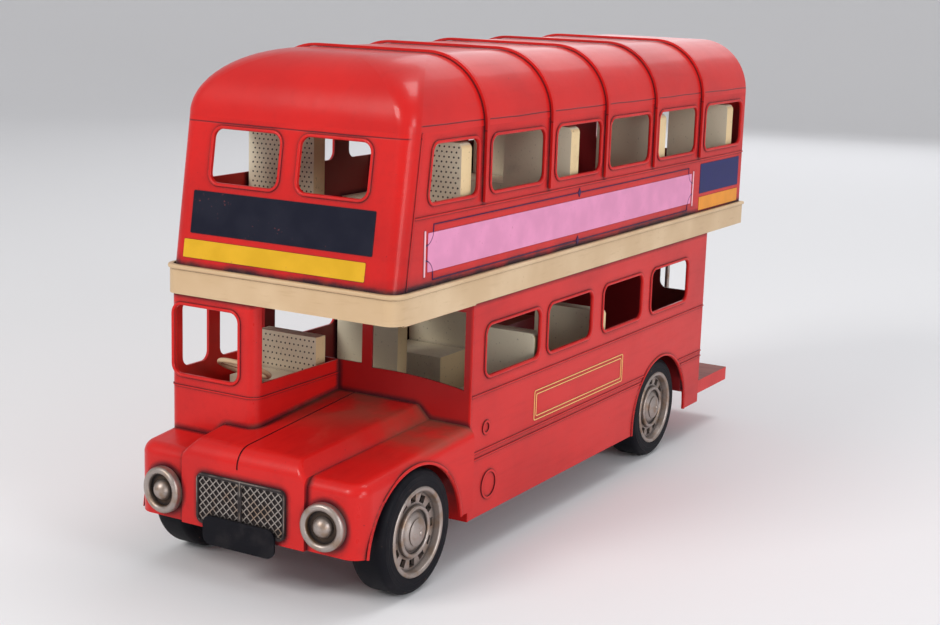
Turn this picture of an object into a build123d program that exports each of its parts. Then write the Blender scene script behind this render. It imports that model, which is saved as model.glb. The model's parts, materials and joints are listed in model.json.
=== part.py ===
from build123d import *
import math
import os

os.makedirs("parts", exist_ok=True)

# Toy half-cab double decker bus in folded tin plate, millimetres.
# +Z is up, the front faces -Y, the bus's left (kerb) side is +X, and the ground is Z = 0.

# Driving dimensions of the body
body_width = 97.0          # over the side sheets
sheet = 0.8                # tin plate, everywhere
seam_gap = 0.15            # between pressed curves that meet
bulkhead_y = -91.5         # front wall of the lower saloon
saloon_length = 217.0      # bulkhead to the rear edge of the lower sides
platform_length = 38.0     # open rear platform
cab_length = 51.5          # cab front ahead of the bulkhead
skirt_z = 15.5             # lower edge of the side sheets
floor_z = 25.3             # lower deck, top face
deck_z = 99.0              # upper deck, top face
roof_base_z = 161.0        # seam between the side sheets and the roof
roof_radius = 24.0         # shoulder of the roof
nose_rake = 8.0            # upper front panel leans back by this much
nose_corner = 6.0          # rolled corners of the upper front
window_corner = 3.5

# Half-round beads and mouldings on the sheets
bead_radius = 0.65         # round the windows
lip_radius = 0.6           # round the wheel arches
ridge_radius = 0.4         # pressed ridges along the sides
side_ridge_heights = (38.2, 40.7, 62.5)
upper_ridge_z = 132.6
crease_z = 63.4            # fold round the cab front
crease_proud = 0.3
crease_height = 0.5

# Waist band round the deck line
band_z = 97.7
band_height = 10.6
band_proud = 1.3
bead_proud = 0.7
bead_height = 1.6
bead_round = 0.65

# Windows and doorways
lower_sill_z = 68.7
lower_head_z = 87.5
upper_sill_z = 137.2
upper_head_z = 156.9
windscreen_sill_z = 68.3
windscreen_head_z = 93.5
windscreen_near = 17.2     # from the centre line, on the driver's side
windscreen_far = 46.0
doorway_head_z = 94.0      # also the top of the bulkhead's open lights
front_light_low_z = 138.4
front_light_high_z = 157.2
front_light_near = 4.4     # from the centre line
front_light_far = 33.2
rear_light_low_z = 131.0
rear_light_high_z = 155.0
rear_light_half = 30.0

# Cab
cab_inner_x = -9.5         # outer face of the low inner wall
cab_low_z = 36.0           # where the cab sheets end inside the pressing
cab_roll = 4.0             # rolled corners of the cab front

# Bulkhead behind the bonnet
post_x = 3.2               # post between the open lights
post_width = 4.5
left_jamb = 2.0
right_jamb = 3.0
left_sill_high_z = 67.6    # the low panel's top, arched down towards the side
left_sill_low_z = 65.0
left_sill_bulge = 1.0

# Bonnet and wings
nose_length = 71.0         # radiator face ahead of the bulkhead
apron_z = 20.5             # lower edge of the pressing
wing_half_front = 48.5
wing_half_rear = 51.0
wing_front_z = 46.0
wing_rear_z = 52.0
hood_half_front = 21.5     # ridge to ridge at the radiator
hood_half_rear = 26.5
hood_front_z = 51.0
hood_rear_z = 57.0
hood_shoulder = 5.0        # width of the sloping shoulder beside the ridge
nose_roll = 7.0            # rounding of the leading edges
wing_setback = 1.5         # wing fronts behind the radiator face
wing_crown = 4.5           # rounding along the wings' top edges
ridge_round = 2.2          # rounding along the hood's ridges
hood_seam_x = -2.0         # folded seam along the hood
hood_seam_width = 0.7
hood_seam_depth = 0.4

# Wheels and axles
tyre_radius = 22.5
tyre_width = 14.6
tyre_shoulder = 3.0
rim_radius = 16.4
axle_radius = 1.5
axle_fit = 0.05            # running clearance, radial
front_axle_back = -36.6    # from the bulkhead
rear_axle_back = 170.0
front_wheel_face = 50.6    # outer face of the front tyres from the centre line
rear_wheel_face = 47.0
arch_radius = 28.2
arch_drop = 4.7            # arch centre below the axle
rear_arch_shift = 1.5      # rear arch centre behind the axle
hanger_x = 26.0            # front axle's hangers
hanger_thickness = 2.0
hanger_half = 5.0
hanger_low_z = 16.0

# Lamps, grille and plate
lamp_x = 34.6
lamp_z = 31.0
lamp_radius = 8.4
lamp_toe = 5.0             # degrees, outward
lamp_ring = 2.6            # width of the half-round rim
lamp_ring_seat = 1.8       # height of the rim's foot
lamp_dish = 0.6            # height of the dish's floor
lamp_bulb_radius = 3.8
lamp_bulb_top = 4.2
grille_half = 19.0
grille_low_z = 22.4
grille_high_z = 40.5
grille_depth = 1.2
plate_half = 15.5
plate_low_z = 15.5
plate_high_z = 26.0

# Seats
seat_inner = 16.5
seat_outer = 46.5
seat_back_thickness = 7.0
seat_back_corner = 2.5     # rounding of the backs' upper ends
seat_depth = 22.0
lower_cushion_z = 52.0
lower_back_z = 77.0
upper_cushion_z = 122.0
upper_back_z = 155.5
driver_seat_near = 14.5    # from the centre line
driver_seat_far = 41.0
driver_cushion_z = 63.0
driver_back_z = 77.6
driver_back_gap = 8.0      # its back ahead of the bulkhead
driver_back_thickness = 6.0
driver_cushion_depth = 18.0

# Floor, rear platform and stairs
pan_front_half = 30.0
wheel_box_inner = 30.0     # inner walls of the boxes over the rear wheels
wheel_box_reach = 27.5
wheel_box_z = 50.0
axle_tunnel_half = 4.0     # fold in the floor over the rear axle
axle_tunnel_rise = 3.0
platform_skirt = 6.3       # depth of the platform's tray
rear_panel_right_x = 5.0   # where the closed part of the lower rear ends
doorway_left_x = 22.0
doorway_right_x = -10.0
pole_x = 20.0
pole_back = 22.0           # behind the saloon partition
pole_radius = 1.1
stair_steps = 8
stair_width = 30.0
stair_side_gap = 2.5       # off the side sheet
stair_front_gap = 0.2      # off the saloon partition
stair_rear_gap = 9.0       # off the rear panel
stairwell_margin = 1.0

# Places that follow from the driving dimensions
half = body_width / 2
inner = half - sheet
front_y = bulkhead_y - cab_length
saloon_rear_y = bulkhead_y + saloon_length
rear_y = saloon_rear_y + platform_length
deck_under_z = deck_z - sheet
band_top_z = band_z + band_height
nose_base_z = band_top_z - 0.5
nose_y = bulkhead_y - nose_length
nose_top_y = front_y + nose_rake
front_axle_y = bulkhead_y + front_axle_back
rear_axle_y = bulkhead_y + rear_axle_back
arch_z = tyre_radius - arch_drop

# Window bays along the sides: start and end, measured back from the bulkhead
lower_bays = ((10.6, 52.0), (59.1, 97.0), (108.0, 145.8), (156.0, 195.8))
upper_bays = ((9.9, 49.8), (60.1, 98.2), (106.9, 145.8), (155.0, 195.8), (206.8, 250.0))
cab_bays = ((-45.0, -30.0), (-23.5, -3.5))
roof_rib_offsets = (4.8, 54.7, 102.4, 150.4, 201.0)
upper_seat_offsets = (-8.0, 76.0, 160.0, 238.0)
lower_seat_offsets = (52.0, 108.0)


def save(piece, name):
    piece.label = name
    export_step(piece, f"parts/{name}.step")


def bay_windows(bays, low_z, high_z):
    """Rounded windows, drawn in a sketch on the side plane."""
    for start, end in bays:
        with Locations((bulkhead_y + (start + end) / 2, (low_z + high_z) / 2)):
            RectangleRounded(end - start, high_z - low_z, window_corner, mode=Mode.SUBTRACT)


def rounded_front(y_front, y_rear, half_width, corner):
    """Plan outline with round front corners and square rear ones."""
    with BuildSketch() as outline:
        with BuildLine():
            Line((-half_width, y_rear), (-half_width, y_front + corner))
            RadiusArc((-half_width, y_front + corner), (-half_width + corner, y_front), -corner)
            Line((-half_width + corner, y_front), (half_width - corner, y_front))
            RadiusArc((half_width - corner, y_front), (half_width, y_front + corner), -corner)
            Line((half_width, y_front + corner), (half_width, y_rear))
            Line((half_width, y_rear), (-half_width, y_rear))
        make_face()
    return outline.sketch


def dome_arc(foot_radius, foot_height, top_height):
    """Arc of a ball's cap in a section plane, from its foot up to the axis."""
    rise = top_height - foot_height
    ball = (foot_radius**2 + rise**2) / (2 * rise)
    start = math.degrees(math.asin((ball - rise) / ball))
    return CenterArc((0, top_height - ball), ball, start, 90 - start)


def half_round(centre, radius, foot):
    """Half-round bead in a section plane, from its outer foot over to its inner one."""
    return ThreePointArc((centre + radius, foot), (centre, foot + radius), (centre - radius, foot))


def pressed_nose(inset, low_z):
    """Bonnet and both wings as one solid, with every wall moved inwards by inset."""
    front = nose_y + inset
    roll = nose_roll - inset
    # section y, ridge half width, ridge z, valley z
    hood_sections = (
        (front, hood_half_front, hood_front_z, wing_front_z),
        (bulkhead_y, hood_half_rear, hood_rear_z, wing_rear_z),
    )
    with BuildPart() as hood:
        for y, ridge, top_z, valley_z in hood_sections:
            base = ridge + hood_shoulder - inset
            with BuildSketch(Plane.XZ.offset(-y)):
                with BuildLine():
                    Polyline(
                        (-base, low_z),
                        (base, low_z),
                        (base, valley_z - inset),
                        (ridge - inset, top_z - inset),
                        (inset - ridge, top_z - inset),
                        (-base, valley_z - inset),
                        close=True,
                    )
                make_face()
        loft(ruled=True)
        top_front = hood.edges().filter_by(Axis.X).group_by(Axis.Y)[0].sort_by(Axis.Z)[-1]
        fillet(top_front, roll)
        top_edges = hood.faces().sort_by(Axis.Z)[-1].edges().sort_by(Axis.X)
        fillet((top_edges[0], top_edges[-1]), ridge_round - inset)
    # section y, outer half width, crown z
    wing_sections = (
        (front + wing_setback, wing_half_front, wing_front_z),
        (bulkhead_y, wing_half_rear, wing_rear_z),
    )
    with BuildPart() as wings:
        for y, outer, crown_z in wing_sections:
            with BuildSketch(Plane.XZ.offset(-y)):
                with Locations((0, low_z)):
                    Rectangle(2 * (outer - inset), crown_z - inset - low_z, align=(Align.CENTER, Align.MIN))
        loft(ruled=True)
        corners = wings.edges().filter_by(Axis.Z).group_by(Axis.Y)[0]
        fillet(corners, roll)
        crowns = wings.faces().sort_by(Axis.Z)[-1].edges()
        fillet(crowns.sort_by(Axis.Y)[:-1], wing_crown - inset)
    return hood.part + wings.part


# Lower side sheets with windows and wheel arches
for side, name in ((1, "lower_side_left"), (-1, "lower_side_right")):
    side_rear_y = saloon_rear_y if side > 0 else rear_y
    with BuildPart() as lower_side:
        with BuildSketch(Plane.YZ.offset(side * half)):
            with Locations((bulkhead_y, skirt_z)):
                Rectangle(side_rear_y - bulkhead_y, deck_under_z - skirt_z, align=(Align.MIN, Align.MIN))
            bay_windows(lower_bays, lower_sill_z, lower_head_z)
            with Locations((rear_axle_y + rear_arch_shift, arch_z)):
                Circle(arch_radius, mode=Mode.SUBTRACT)
        extrude(amount=-side * sheet)
    save(lower_side.part, name)

def cab_plan(inset):
    """Plan of the cab, with round front corners, moved inwards by inset."""
    corner = inset - cab_roll
    with BuildSketch() as outline:
        with BuildLine():
            Line((inset - half, bulkhead_y), (inset - half, front_y + cab_roll))
            RadiusArc((inset - half, front_y + cab_roll), (cab_roll - half, front_y + inset), corner)
            Line((cab_roll - half, front_y + inset), (cab_inner_x - cab_roll, front_y + inset))
            RadiusArc(
                (cab_inner_x - cab_roll, front_y + inset),
                (cab_inner_x - inset, front_y + cab_roll),
                corner,
            )
            Line((cab_inner_x - inset, front_y + cab_roll), (cab_inner_x - inset, bulkhead_y))
            Line((cab_inner_x - inset, bulkhead_y), (inset - half, bulkhead_y))
        make_face()
    return outline.sketch


# Cab: front sheet with the windscreen, rolled into the low inner wall, and the outer side sheet
with BuildPart() as cab_front:
    with BuildSketch(Plane.XY.offset(cab_low_z)):
        add(cab_plan(0.0))
        add(cab_plan(sheet), mode=Mode.SUBTRACT)
    extrude(amount=deck_under_z - cab_low_z)
    # Fold below the windscreen
    with BuildSketch(Plane.XY.offset(crease_z)):
        add(cab_plan(-crease_proud))
        add(cab_plan(sheet), mode=Mode.SUBTRACT)
    extrude(amount=crease_height)
    # Windscreen
    with BuildSketch(Plane.XZ.offset(-front_y - 2 * sheet)):
        with Locations((-(windscreen_near + windscreen_far) / 2, (windscreen_sill_z + windscreen_head_z) / 2)):
            RectangleRounded(windscreen_far - windscreen_near, windscreen_head_z - windscreen_sill_z, window_corner)
    extrude(amount=3 * sheet, mode=Mode.SUBTRACT)
    # Side windows in the outer wall
    with BuildSketch(Plane.YZ.offset(-half - sheet)):
        for start, end in cab_bays:
            with Locations((bulkhead_y + (start + end) / 2, (lower_sill_z + windscreen_head_z) / 2)):
                RectangleRounded(end - start, windscreen_head_z - lower_sill_z, window_corner)
    extrude(amount=3 * sheet, mode=Mode.SUBTRACT)
    # The inner wall is open above the sill, behind the corner pillar
    with BuildSketch(Plane.YZ.offset(cab_inner_x - 2 * sheet)):
        with Locations((front_y + cab_roll, lower_sill_z)):
            Rectangle(cab_length, deck_z - lower_sill_z, align=(Align.MIN, Align.MIN))
    extrude(amount=3 * sheet, mode=Mode.SUBTRACT)
    # It stands on the bonnet and the wing
    add(pressed_nose(-seam_gap, apron_z), mode=Mode.SUBTRACT)
save(cab_front.part, "cab_shell")

# Bulkhead between the bonnet and the saloon, with the open lights and the post between them
with BuildPart() as bulkhead:
    with BuildSketch(Plane.XZ.offset(-bulkhead_y)):
        with Locations((0, skirt_z)):
            Rectangle(2 * inner, deck_under_z - skirt_z, align=(Align.CENTER, Align.MIN))
        post_left_x = post_x + post_width / 2
        post_right_x = post_x - post_width / 2
        left_jamb_x = inner - left_jamb
        with BuildLine():
            ThreePointArc(
                (post_left_x, left_sill_high_z),
                (
                    (post_left_x + left_jamb_x) / 2,
                    (left_sill_high_z + left_sill_low_z) / 2 + left_sill_bulge,
                ),
                (left_jamb_x, left_sill_low_z),
            )
            Line((left_jamb_x, left_sill_low_z), (left_jamb_x, doorway_head_z))
            Line((left_jamb_x, doorway_head_z), (post_left_x, doorway_head_z))
            Line((post_left_x, doorway_head_z), (post_left_x, left_sill_high_z))
        make_face(mode=Mode.SUBTRACT)
        with Locations((right_jamb - inner, lower_sill_z)):
            Rectangle(
                inner - right_jamb + post_right_x,
                doorway_head_z - lower_sill_z,
                align=(Align.MIN, Align.MIN),
                mode=Mode.SUBTRACT,
            )
    extrude(amount=-sheet)
save(bulkhead.part, "front_bulkhead")

# Bonnet and wings, one hollow pressing with the front wheel arches cut out of its sides
with BuildPart() as bonnet:
    add(pressed_nose(0.0, apron_z))
    add(pressed_nose(sheet, apron_z - 1), mode=Mode.SUBTRACT)
    # The arches are open from the tyres' inner faces outwards
    for side in (1, -1):
        with BuildSketch(Plane.YZ.offset(side * (front_wheel_face - tyre_width))):
            with Locations((front_axle_y, arch_z)):
                Circle(arch_radius)
        extrude(amount=side * half, mode=Mode.SUBTRACT)
    # Seam pressed into the skin along the hood
    with BuildPart(mode=Mode.PRIVATE) as seam:
        add(pressed_nose(0.0, apron_z))
        add(pressed_nose(hood_seam_depth, apron_z), mode=Mode.SUBTRACT)
        with Locations((hood_seam_x, bulkhead_y, hood_front_z - nose_roll)):
            Box(
                hood_seam_width,
                2 * nose_length,
                2 * nose_roll + hood_rear_z - hood_front_z,
                align=(Align.CENTER, Align.CENTER, Align.MIN),
                mode=Mode.INTERSECT,
            )
    add(seam.part, mode=Mode.SUBTRACT)
save(bonnet.part, "bonnet_wings")

# Grille: frame, back plate, centre bar and a mesh of crossed diagonal wires in both halves
grille_corner = 2.5
grille_frame = 1.0
grille_recess = 0.9
mesh_pitch = 2.1           # from wire to wire
mesh_wire = 0.4
mesh_rise = 0.5            # wires above the back plate
grille_height = grille_high_z - grille_low_z
mesh_wires = 2 * math.ceil((2 * grille_half + grille_height) / math.sqrt(8) / mesh_pitch) + 1
with BuildPart() as grille:
    with BuildSketch(Plane.XZ.offset(-nose_y)):
        with Locations((0, grille_low_z + grille_height / 2)):
            RectangleRounded(2 * grille_half, grille_height, grille_corner)
    extrude(amount=grille_depth)
    with BuildSketch(Plane.XZ.offset(-nose_y + grille_depth)) as grille_halves:
        with GridLocations(grille_half, 0, 2, 1):
            with Locations((0, grille_low_z + grille_height / 2)):
                RectangleRounded(
                    grille_half - 1.5 * grille_frame,
                    grille_height - 2 * grille_frame,
                    grille_corner - grille_frame,
                )
    extrude(amount=-grille_recess, mode=Mode.SUBTRACT)
    with BuildSketch(Plane.XZ.offset(-nose_y + grille_depth - grille_recess)):
        for wire_angle in (45, -45):
            with Locations(Location((0, grille_low_z + grille_height / 2), wire_angle)):
                with GridLocations(mesh_pitch, 0, mesh_wires, 1):
                    Rectangle(mesh_wire, 2 * grille_half + grille_height)
        add(grille_halves.sketch_local, mode=Mode.INTERSECT)
    extrude(amount=mesh_rise)
save(grille.part, "grille")

# Blank number plate below the grille
plate_corner = 3.5
with BuildPart() as number_plate:
    with BuildSketch(Plane.XZ.offset(-nose_y + grille_depth)):
        with Locations((0, (plate_low_z + plate_high_z) / 2)):
            RectangleRounded(2 * plate_half, plate_high_z - plate_low_z, plate_corner)
    extrude(amount=sheet)
save(number_plate.part, "number_plate")

# Headlamps: ring, dish and domed bulb turned about the lamp's own axis
lamp_seat_y = nose_y + wing_setback
for side, name in ((1, "headlamp_left"), (-1, "headlamp_right")):
    toe = math.radians(lamp_toe) * side
    facing = Vector(math.sin(toe), -math.cos(toe), 0)
    across = Vector(0, 0, 1).cross(facing)
    origin = Vector(side * lamp_x, lamp_seat_y - lamp_radius * math.sin(abs(toe)) - seam_gap, lamp_z)
    with BuildPart() as headlamp:
        with BuildSketch(Plane(origin=origin, x_dir=(0, 0, 1), z_dir=across)):
            with BuildLine():
                Line((0, 0), (lamp_radius, 0))
                Line((lamp_radius, 0), (lamp_radius, lamp_ring_seat))
                ThreePointArc(
                    (lamp_radius, lamp_ring_seat),
                    (lamp_radius - lamp_ring / 2, lamp_ring_seat + lamp_ring / 2),
                    (lamp_radius - lamp_ring, lamp_ring_seat),
                )
                Line((lamp_radius - lamp_ring, lamp_ring_seat), (lamp_radius - lamp_ring, lamp_dish))
                Line((lamp_radius - lamp_ring, lamp_dish), (lamp_bulb_radius, lamp_dish))
                dome_arc(lamp_bulb_radius, lamp_dish, lamp_bulb_top)
                Line((0, lamp_bulb_top), (0, 0))
            make_face()
        revolve(axis=Axis(origin, facing))
    save(headlamp.part, name)

# Upper deck floor with the stairwell
stair_outer_x = stair_side_gap - inner
stair_front_y = saloon_rear_y + stair_front_gap + sheet
stair_start_y = rear_y - stair_rear_gap
with BuildPart() as deck:
    with BuildSketch(Plane.XY.offset(deck_under_z)):
        add(rounded_front(front_y + sheet, rear_y - sheet, inner, nose_corner - sheet))
        with Locations((stair_outer_x - stairwell_margin, stair_front_y)):
            Rectangle(
                stair_width + 2 * stairwell_margin,
                stair_start_y + stairwell_margin - stair_front_y,
                align=(Align.MIN, Align.MIN),
                mode=Mode.SUBTRACT,
            )
    extrude(amount=sheet)
save(deck.part, "upper_deck_floor")

# Waist band with its wire bead
with BuildPart() as band:
    with BuildSketch(Plane.XY.offset(band_z)):
        add(rounded_front(front_y - band_proud, rear_y + band_proud, half + band_proud, cab_roll + band_proud))
        add(rounded_front(front_y, rear_y, half, cab_roll), mode=Mode.SUBTRACT)
    extrude(amount=band_height)
    bead_out = band_proud + bead_proud
    with BuildPart(mode=Mode.PRIVATE) as bead:
        with BuildSketch(Plane.XY.offset(band_top_z - bead_height)):
            add(rounded_front(front_y - bead_out, rear_y + bead_out, half + bead_out, cab_roll + bead_out))
        extrude(amount=bead_height)
        fillet(bead.edges().group_by(Axis.Z)[-1] + bead.edges().group_by(Axis.Z)[0], bead_round)
        with BuildSketch(Plane.XY.offset(band_top_z - bead_height)):
            add(rounded_front(front_y, rear_y, half, cab_roll))
        extrude(amount=bead_height, mode=Mode.SUBTRACT)
    add(bead.part)
    # Wire along the lower edge beside the bonnet, where no side sheet stands below
    with BuildSketch(Plane.XZ.offset(-bulkhead_y)):
        with Locations((half + band_proud / 2, band_z)):
            Circle(band_proud / 2)
    extrude(amount=cab_length - cab_roll)
save(band.part, "waist_band")

# Upper front panel: a raked sheet with rolled corners and two windows
def front_roll(y_front, thickness):
    """Plan section of the front panel: a straight sheet with quarter-round ends."""
    bend = nose_corner - thickness
    with BuildSketch() as outline:
        with BuildLine():
            RadiusArc((-half, y_front + nose_corner), (-half + nose_corner, y_front), -nose_corner)
            Line((-half + nose_corner, y_front), (half - nose_corner, y_front))
            RadiusArc((half - nose_corner, y_front), (half, y_front + nose_corner), -nose_corner)
            Line((half, y_front + nose_corner), (half - thickness, y_front + nose_corner))
            RadiusArc((half - thickness, y_front + nose_corner), (half - nose_corner, y_front + thickness), bend)
            Line((half - nose_corner, y_front + thickness), (nose_corner - half, y_front + thickness))
            RadiusArc((nose_corner - half, y_front + thickness), (thickness - half, y_front + nose_corner), bend)
            Line((thickness - half, y_front + nose_corner), (-half, y_front + nose_corner))
        make_face()
    return outline.sketch


with BuildPart() as upper_front:
    with BuildSketch(Plane.XY.offset(deck_under_z)):
        add(front_roll(front_y, sheet))
    extrude(amount=nose_base_z - deck_under_z)
    with BuildSketch(Plane.XY.offset(nose_base_z)):
        add(front_roll(front_y, sheet))
    with BuildSketch(Plane.XY.offset(roof_base_z)):
        add(front_roll(nose_top_y, sheet))
    loft(ruled=True)
    light_height = front_light_high_z - front_light_low_z
    with BuildSketch(Plane.XZ.offset(-front_y)):
        with GridLocations(front_light_near + front_light_far, 0, 2, 1):
            with Locations((0, front_light_low_z + light_height / 2)):
                RectangleRounded(front_light_far - front_light_near, light_height, window_corner)
    extrude(amount=-nose_rake - 2 * sheet, mode=Mode.SUBTRACT)
save(upper_front.part, "upper_front")

# Upper side sheets
first_bay_margin = 14.5    # foremost window behind the raked front
first_bay_corner = 3.0
first_bay_rear_y = bulkhead_y + 0.2


def rake_y(z):
    """Y of the raked front's outer face at height z."""
    return front_y + nose_rake * (z - nose_base_z) / (roof_base_z - nose_base_z)


for side, name in ((1, "upper_side_left"), (-1, "upper_side_right")):
    side_front_low = front_y + nose_corner
    side_front_high = nose_top_y + nose_corner
    with BuildPart() as upper_side:
        with BuildSketch(Plane.YZ.offset(side * half)):
            with BuildLine():
                Polyline(
                    (side_front_low, deck_under_z),
                    (rear_y, deck_under_z),
                    (rear_y, roof_base_z),
                    (side_front_high, roof_base_z),
                    (side_front_low, nose_base_z),
                    close=True,
                )
            make_face()
            bay_windows(upper_bays, upper_sill_z, upper_head_z)
            # The foremost window follows the raked edge
            with BuildLine():
                FilletPolyline(
                    (rake_y(upper_sill_z) + first_bay_margin, upper_sill_z),
                    (first_bay_rear_y, upper_sill_z),
                    (first_bay_rear_y, upper_head_z),
                    (rake_y(upper_head_z) + first_bay_margin, upper_head_z),
                    radius=first_bay_corner,
                    close=True,
                )
            make_face(mode=Mode.SUBTRACT)
        extrude(amount=-side * sheet)
    save(upper_side.part, name)

# Upper rear panel with its window
with BuildPart() as upper_rear:
    with BuildSketch(Plane.XZ.offset(-rear_y)):
        with Locations((0, deck_z)):
            Rectangle(2 * inner, roof_base_z - deck_z, align=(Align.CENTER, Align.MIN))
        with Locations((0, (rear_light_low_z + rear_light_high_z) / 2)):
            RectangleRounded(
                2 * rear_light_half,
                rear_light_high_z - rear_light_low_z,
                window_corner,
                mode=Mode.SUBTRACT,
            )
    extrude(amount=sheet)
save(upper_rear.part, "upper_rear")

# Roof: a shell lofted through plan sections that shrink along the shoulder's arc
front_roof_radius = 26.0
crown_flat_half = 3.5      # straight stretch of the crown's front edge, each way from the middle
crown_corner = half - roof_radius - crown_flat_half
roof_sections = 9


def roof_form(inset):
    """Solid under the roof's skin, moved inwards by inset."""
    with BuildPart() as form:
        for step in range(roof_sections):
            angle = math.radians(90.0 * step / (roof_sections - 1))
            inward = 1 - math.cos(angle)
            height = (roof_radius - inset) * math.sin(angle)
            with BuildSketch(Plane.XY.offset(roof_base_z + height)):
                add(
                    rounded_front(
                        nose_top_y + inset + (front_roof_radius - inset) * inward,
                        rear_y - inset,
                        half - inset - (roof_radius - inset) * inward,
                        nose_corner - inset + (crown_corner - nose_corner) * inward,
                    )
                )
        loft()
    return form.part


with BuildPart() as roof:
    add(roof_form(0.0))
    add(roof_form(sheet), mode=Mode.SUBTRACT)
save(roof.part, "roof")

# Wire hoops over the roof, down between the windows
rib_width = 1.8
rib_proud = 1.3
rib_foot_z = 134.0


def hoop_face(out):
    """Cross-section of the body above the hoops' feet, grown by out."""
    top_z = roof_base_z + roof_radius + out
    with Locations((0, rib_foot_z)):
        Rectangle(2 * (half + out), top_z - rib_foot_z, align=(Align.CENTER, Align.MIN))


with BuildPart() as roof_ribs:
    for offset_y in roof_rib_offsets:
        with BuildSketch(Plane.XZ.offset(-bulkhead_y - offset_y)) as hoop:
            hoop_face(rib_proud)
            fillet(hoop.vertices().group_by(Axis.Y)[-1], roof_radius + rib_proud)
            with BuildSketch(mode=Mode.PRIVATE) as hoop_hole:
                hoop_face(seam_gap)
                fillet(hoop_hole.vertices().group_by(Axis.Y)[-1], roof_radius + seam_gap)
            add(hoop_hole.sketch, mode=Mode.SUBTRACT)
        extrude(amount=rib_width / 2, both=True)
save(roof_ribs.part, "roof_ribs")

def bead_along(plane, path, radius):
    """Half-round bead on a sheet, swept along a path in the sheet's plane."""
    with BuildPart() as bead:
        with BuildSketch(Plane(origin=path @ 0, x_dir=plane.z_dir, z_dir=path % 0)):
            Circle(radius)
            with Locations((-radius, 0)):
                Rectangle(2 * radius, 2 * radius, mode=Mode.SUBTRACT)
        sweep(path=path)
    return bead.part


def framed(plane, corners, corner_radius):
    """Bead round a window; corners are those of the opening, grown by the bead's radius."""
    with BuildLine(plane) as path:
        FilletPolyline(*corners, radius=corner_radius + bead_radius, close=True)
    return bead_along(plane, path.wires()[0], bead_radius)


def window_bead(plane, low, high):
    """Bead round a rectangular window; low and high are its corners in the sheet's plane."""
    left, bottom = low[0] - bead_radius, low[1] - bead_radius
    right, top = high[0] + bead_radius, high[1] + bead_radius
    return framed(plane, ((left, bottom), (right, bottom), (right, top), (left, top)), window_corner)


def ridge(plane, start, end):
    """Pressed ridge between two points of a sheet's plane."""
    with BuildLine(plane) as path:
        Line(start, end)
    return bead_along(plane, path.wires()[0], ridge_radius)


def arch_lip(plane, centre, low_z):
    """Rolled lip round a wheel arch, from edge to edge of the sheet."""
    path_radius = arch_radius + lip_radius
    start = math.degrees(math.asin((low_z - arch_z) / path_radius))
    with BuildLine(plane) as path:
        CenterArc(centre, path_radius, start, 180 - 2 * start)
    return bead_along(plane, path.wires()[0], lip_radius)


# Raised beads round the windows and the wheel arches
rake_angle = math.atan2(nose_rake, roof_base_z - nose_base_z)
with BuildPart() as window_beads:
    for side in (1, -1):
        side_plane = Plane(origin=(side * half, 0, 0), x_dir=(0, side, 0), z_dir=(side, 0, 0))
        for bays, low_z, high_z in (
            (lower_bays, lower_sill_z, lower_head_z),
            (upper_bays, upper_sill_z, upper_head_z),
        ):
            for start, end in bays:
                ends = sorted((side * (bulkhead_y + start), side * (bulkhead_y + end)))
                add(window_bead(side_plane, (ends[0], low_z), (ends[1], high_z)))
        # The foremost upper window leans with the front
        first_corners = (
            (rake_y(upper_sill_z) + first_bay_margin - bead_radius, upper_sill_z - bead_radius),
            (first_bay_rear_y + bead_radius, upper_sill_z - bead_radius),
            (first_bay_rear_y + bead_radius, upper_head_z + bead_radius),
            (rake_y(upper_head_z) + first_bay_margin - bead_radius, upper_head_z + bead_radius),
        )
        add(framed(side_plane, [(side * y, z) for y, z in first_corners], first_bay_corner))
        add(arch_lip(side_plane, (side * (rear_axle_y + rear_arch_shift), arch_z), skirt_z))
        # The wings widen backwards, and the lip lies on their slanted side
        wing_front_y = nose_y + wing_setback
        wing_slope = (wing_half_rear - wing_half_front) / (bulkhead_y - wing_front_y)
        wing_x = wing_half_front + wing_slope * (front_axle_y - wing_front_y)
        wing_plane = Plane(
            origin=(side * wing_x, front_axle_y, 0),
            x_dir=(wing_slope, side, 0),
            z_dir=(side, -wing_slope, 0),
        )
        add(arch_lip(wing_plane, (0, arch_z), apron_z))
    for start, end in cab_bays:
        cab_plane = Plane(origin=(-half, 0, 0), x_dir=(0, -1, 0), z_dir=(-1, 0, 0))
        add(window_bead(cab_plane, (-bulkhead_y - end, lower_sill_z), (-bulkhead_y - start, windscreen_head_z)))
    screen_plane = Plane(origin=(0, front_y, 0), x_dir=(1, 0, 0), z_dir=(0, -1, 0))
    add(
        window_bead(
            screen_plane,
            (-windscreen_far, windscreen_sill_z),
            (-windscreen_near, windscreen_head_z),
        )
    )
    # The upper front's plane leans back
    raked_plane = Plane(
        origin=(0, front_y, nose_base_z),
        x_dir=(1, 0, 0),
        z_dir=(0, -math.cos(rake_angle), math.sin(rake_angle)),
    )
    raked_low = (front_light_low_z - nose_base_z) / math.cos(rake_angle)
    raked_high = (front_light_high_z - nose_base_z) / math.cos(rake_angle)
    for near, far in ((front_light_near, front_light_far), (-front_light_far, -front_light_near)):
        add(window_bead(raked_plane, (near, raked_low), (far, raked_high)))
    rear_plane = Plane(origin=(0, rear_y, 0), x_dir=(-1, 0, 0), z_dir=(0, 1, 0))
    add(window_bead(rear_plane, (-rear_light_half, rear_light_low_z), (rear_light_half, rear_light_high_z)))
save(window_beads.part, "window_beads")

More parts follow.
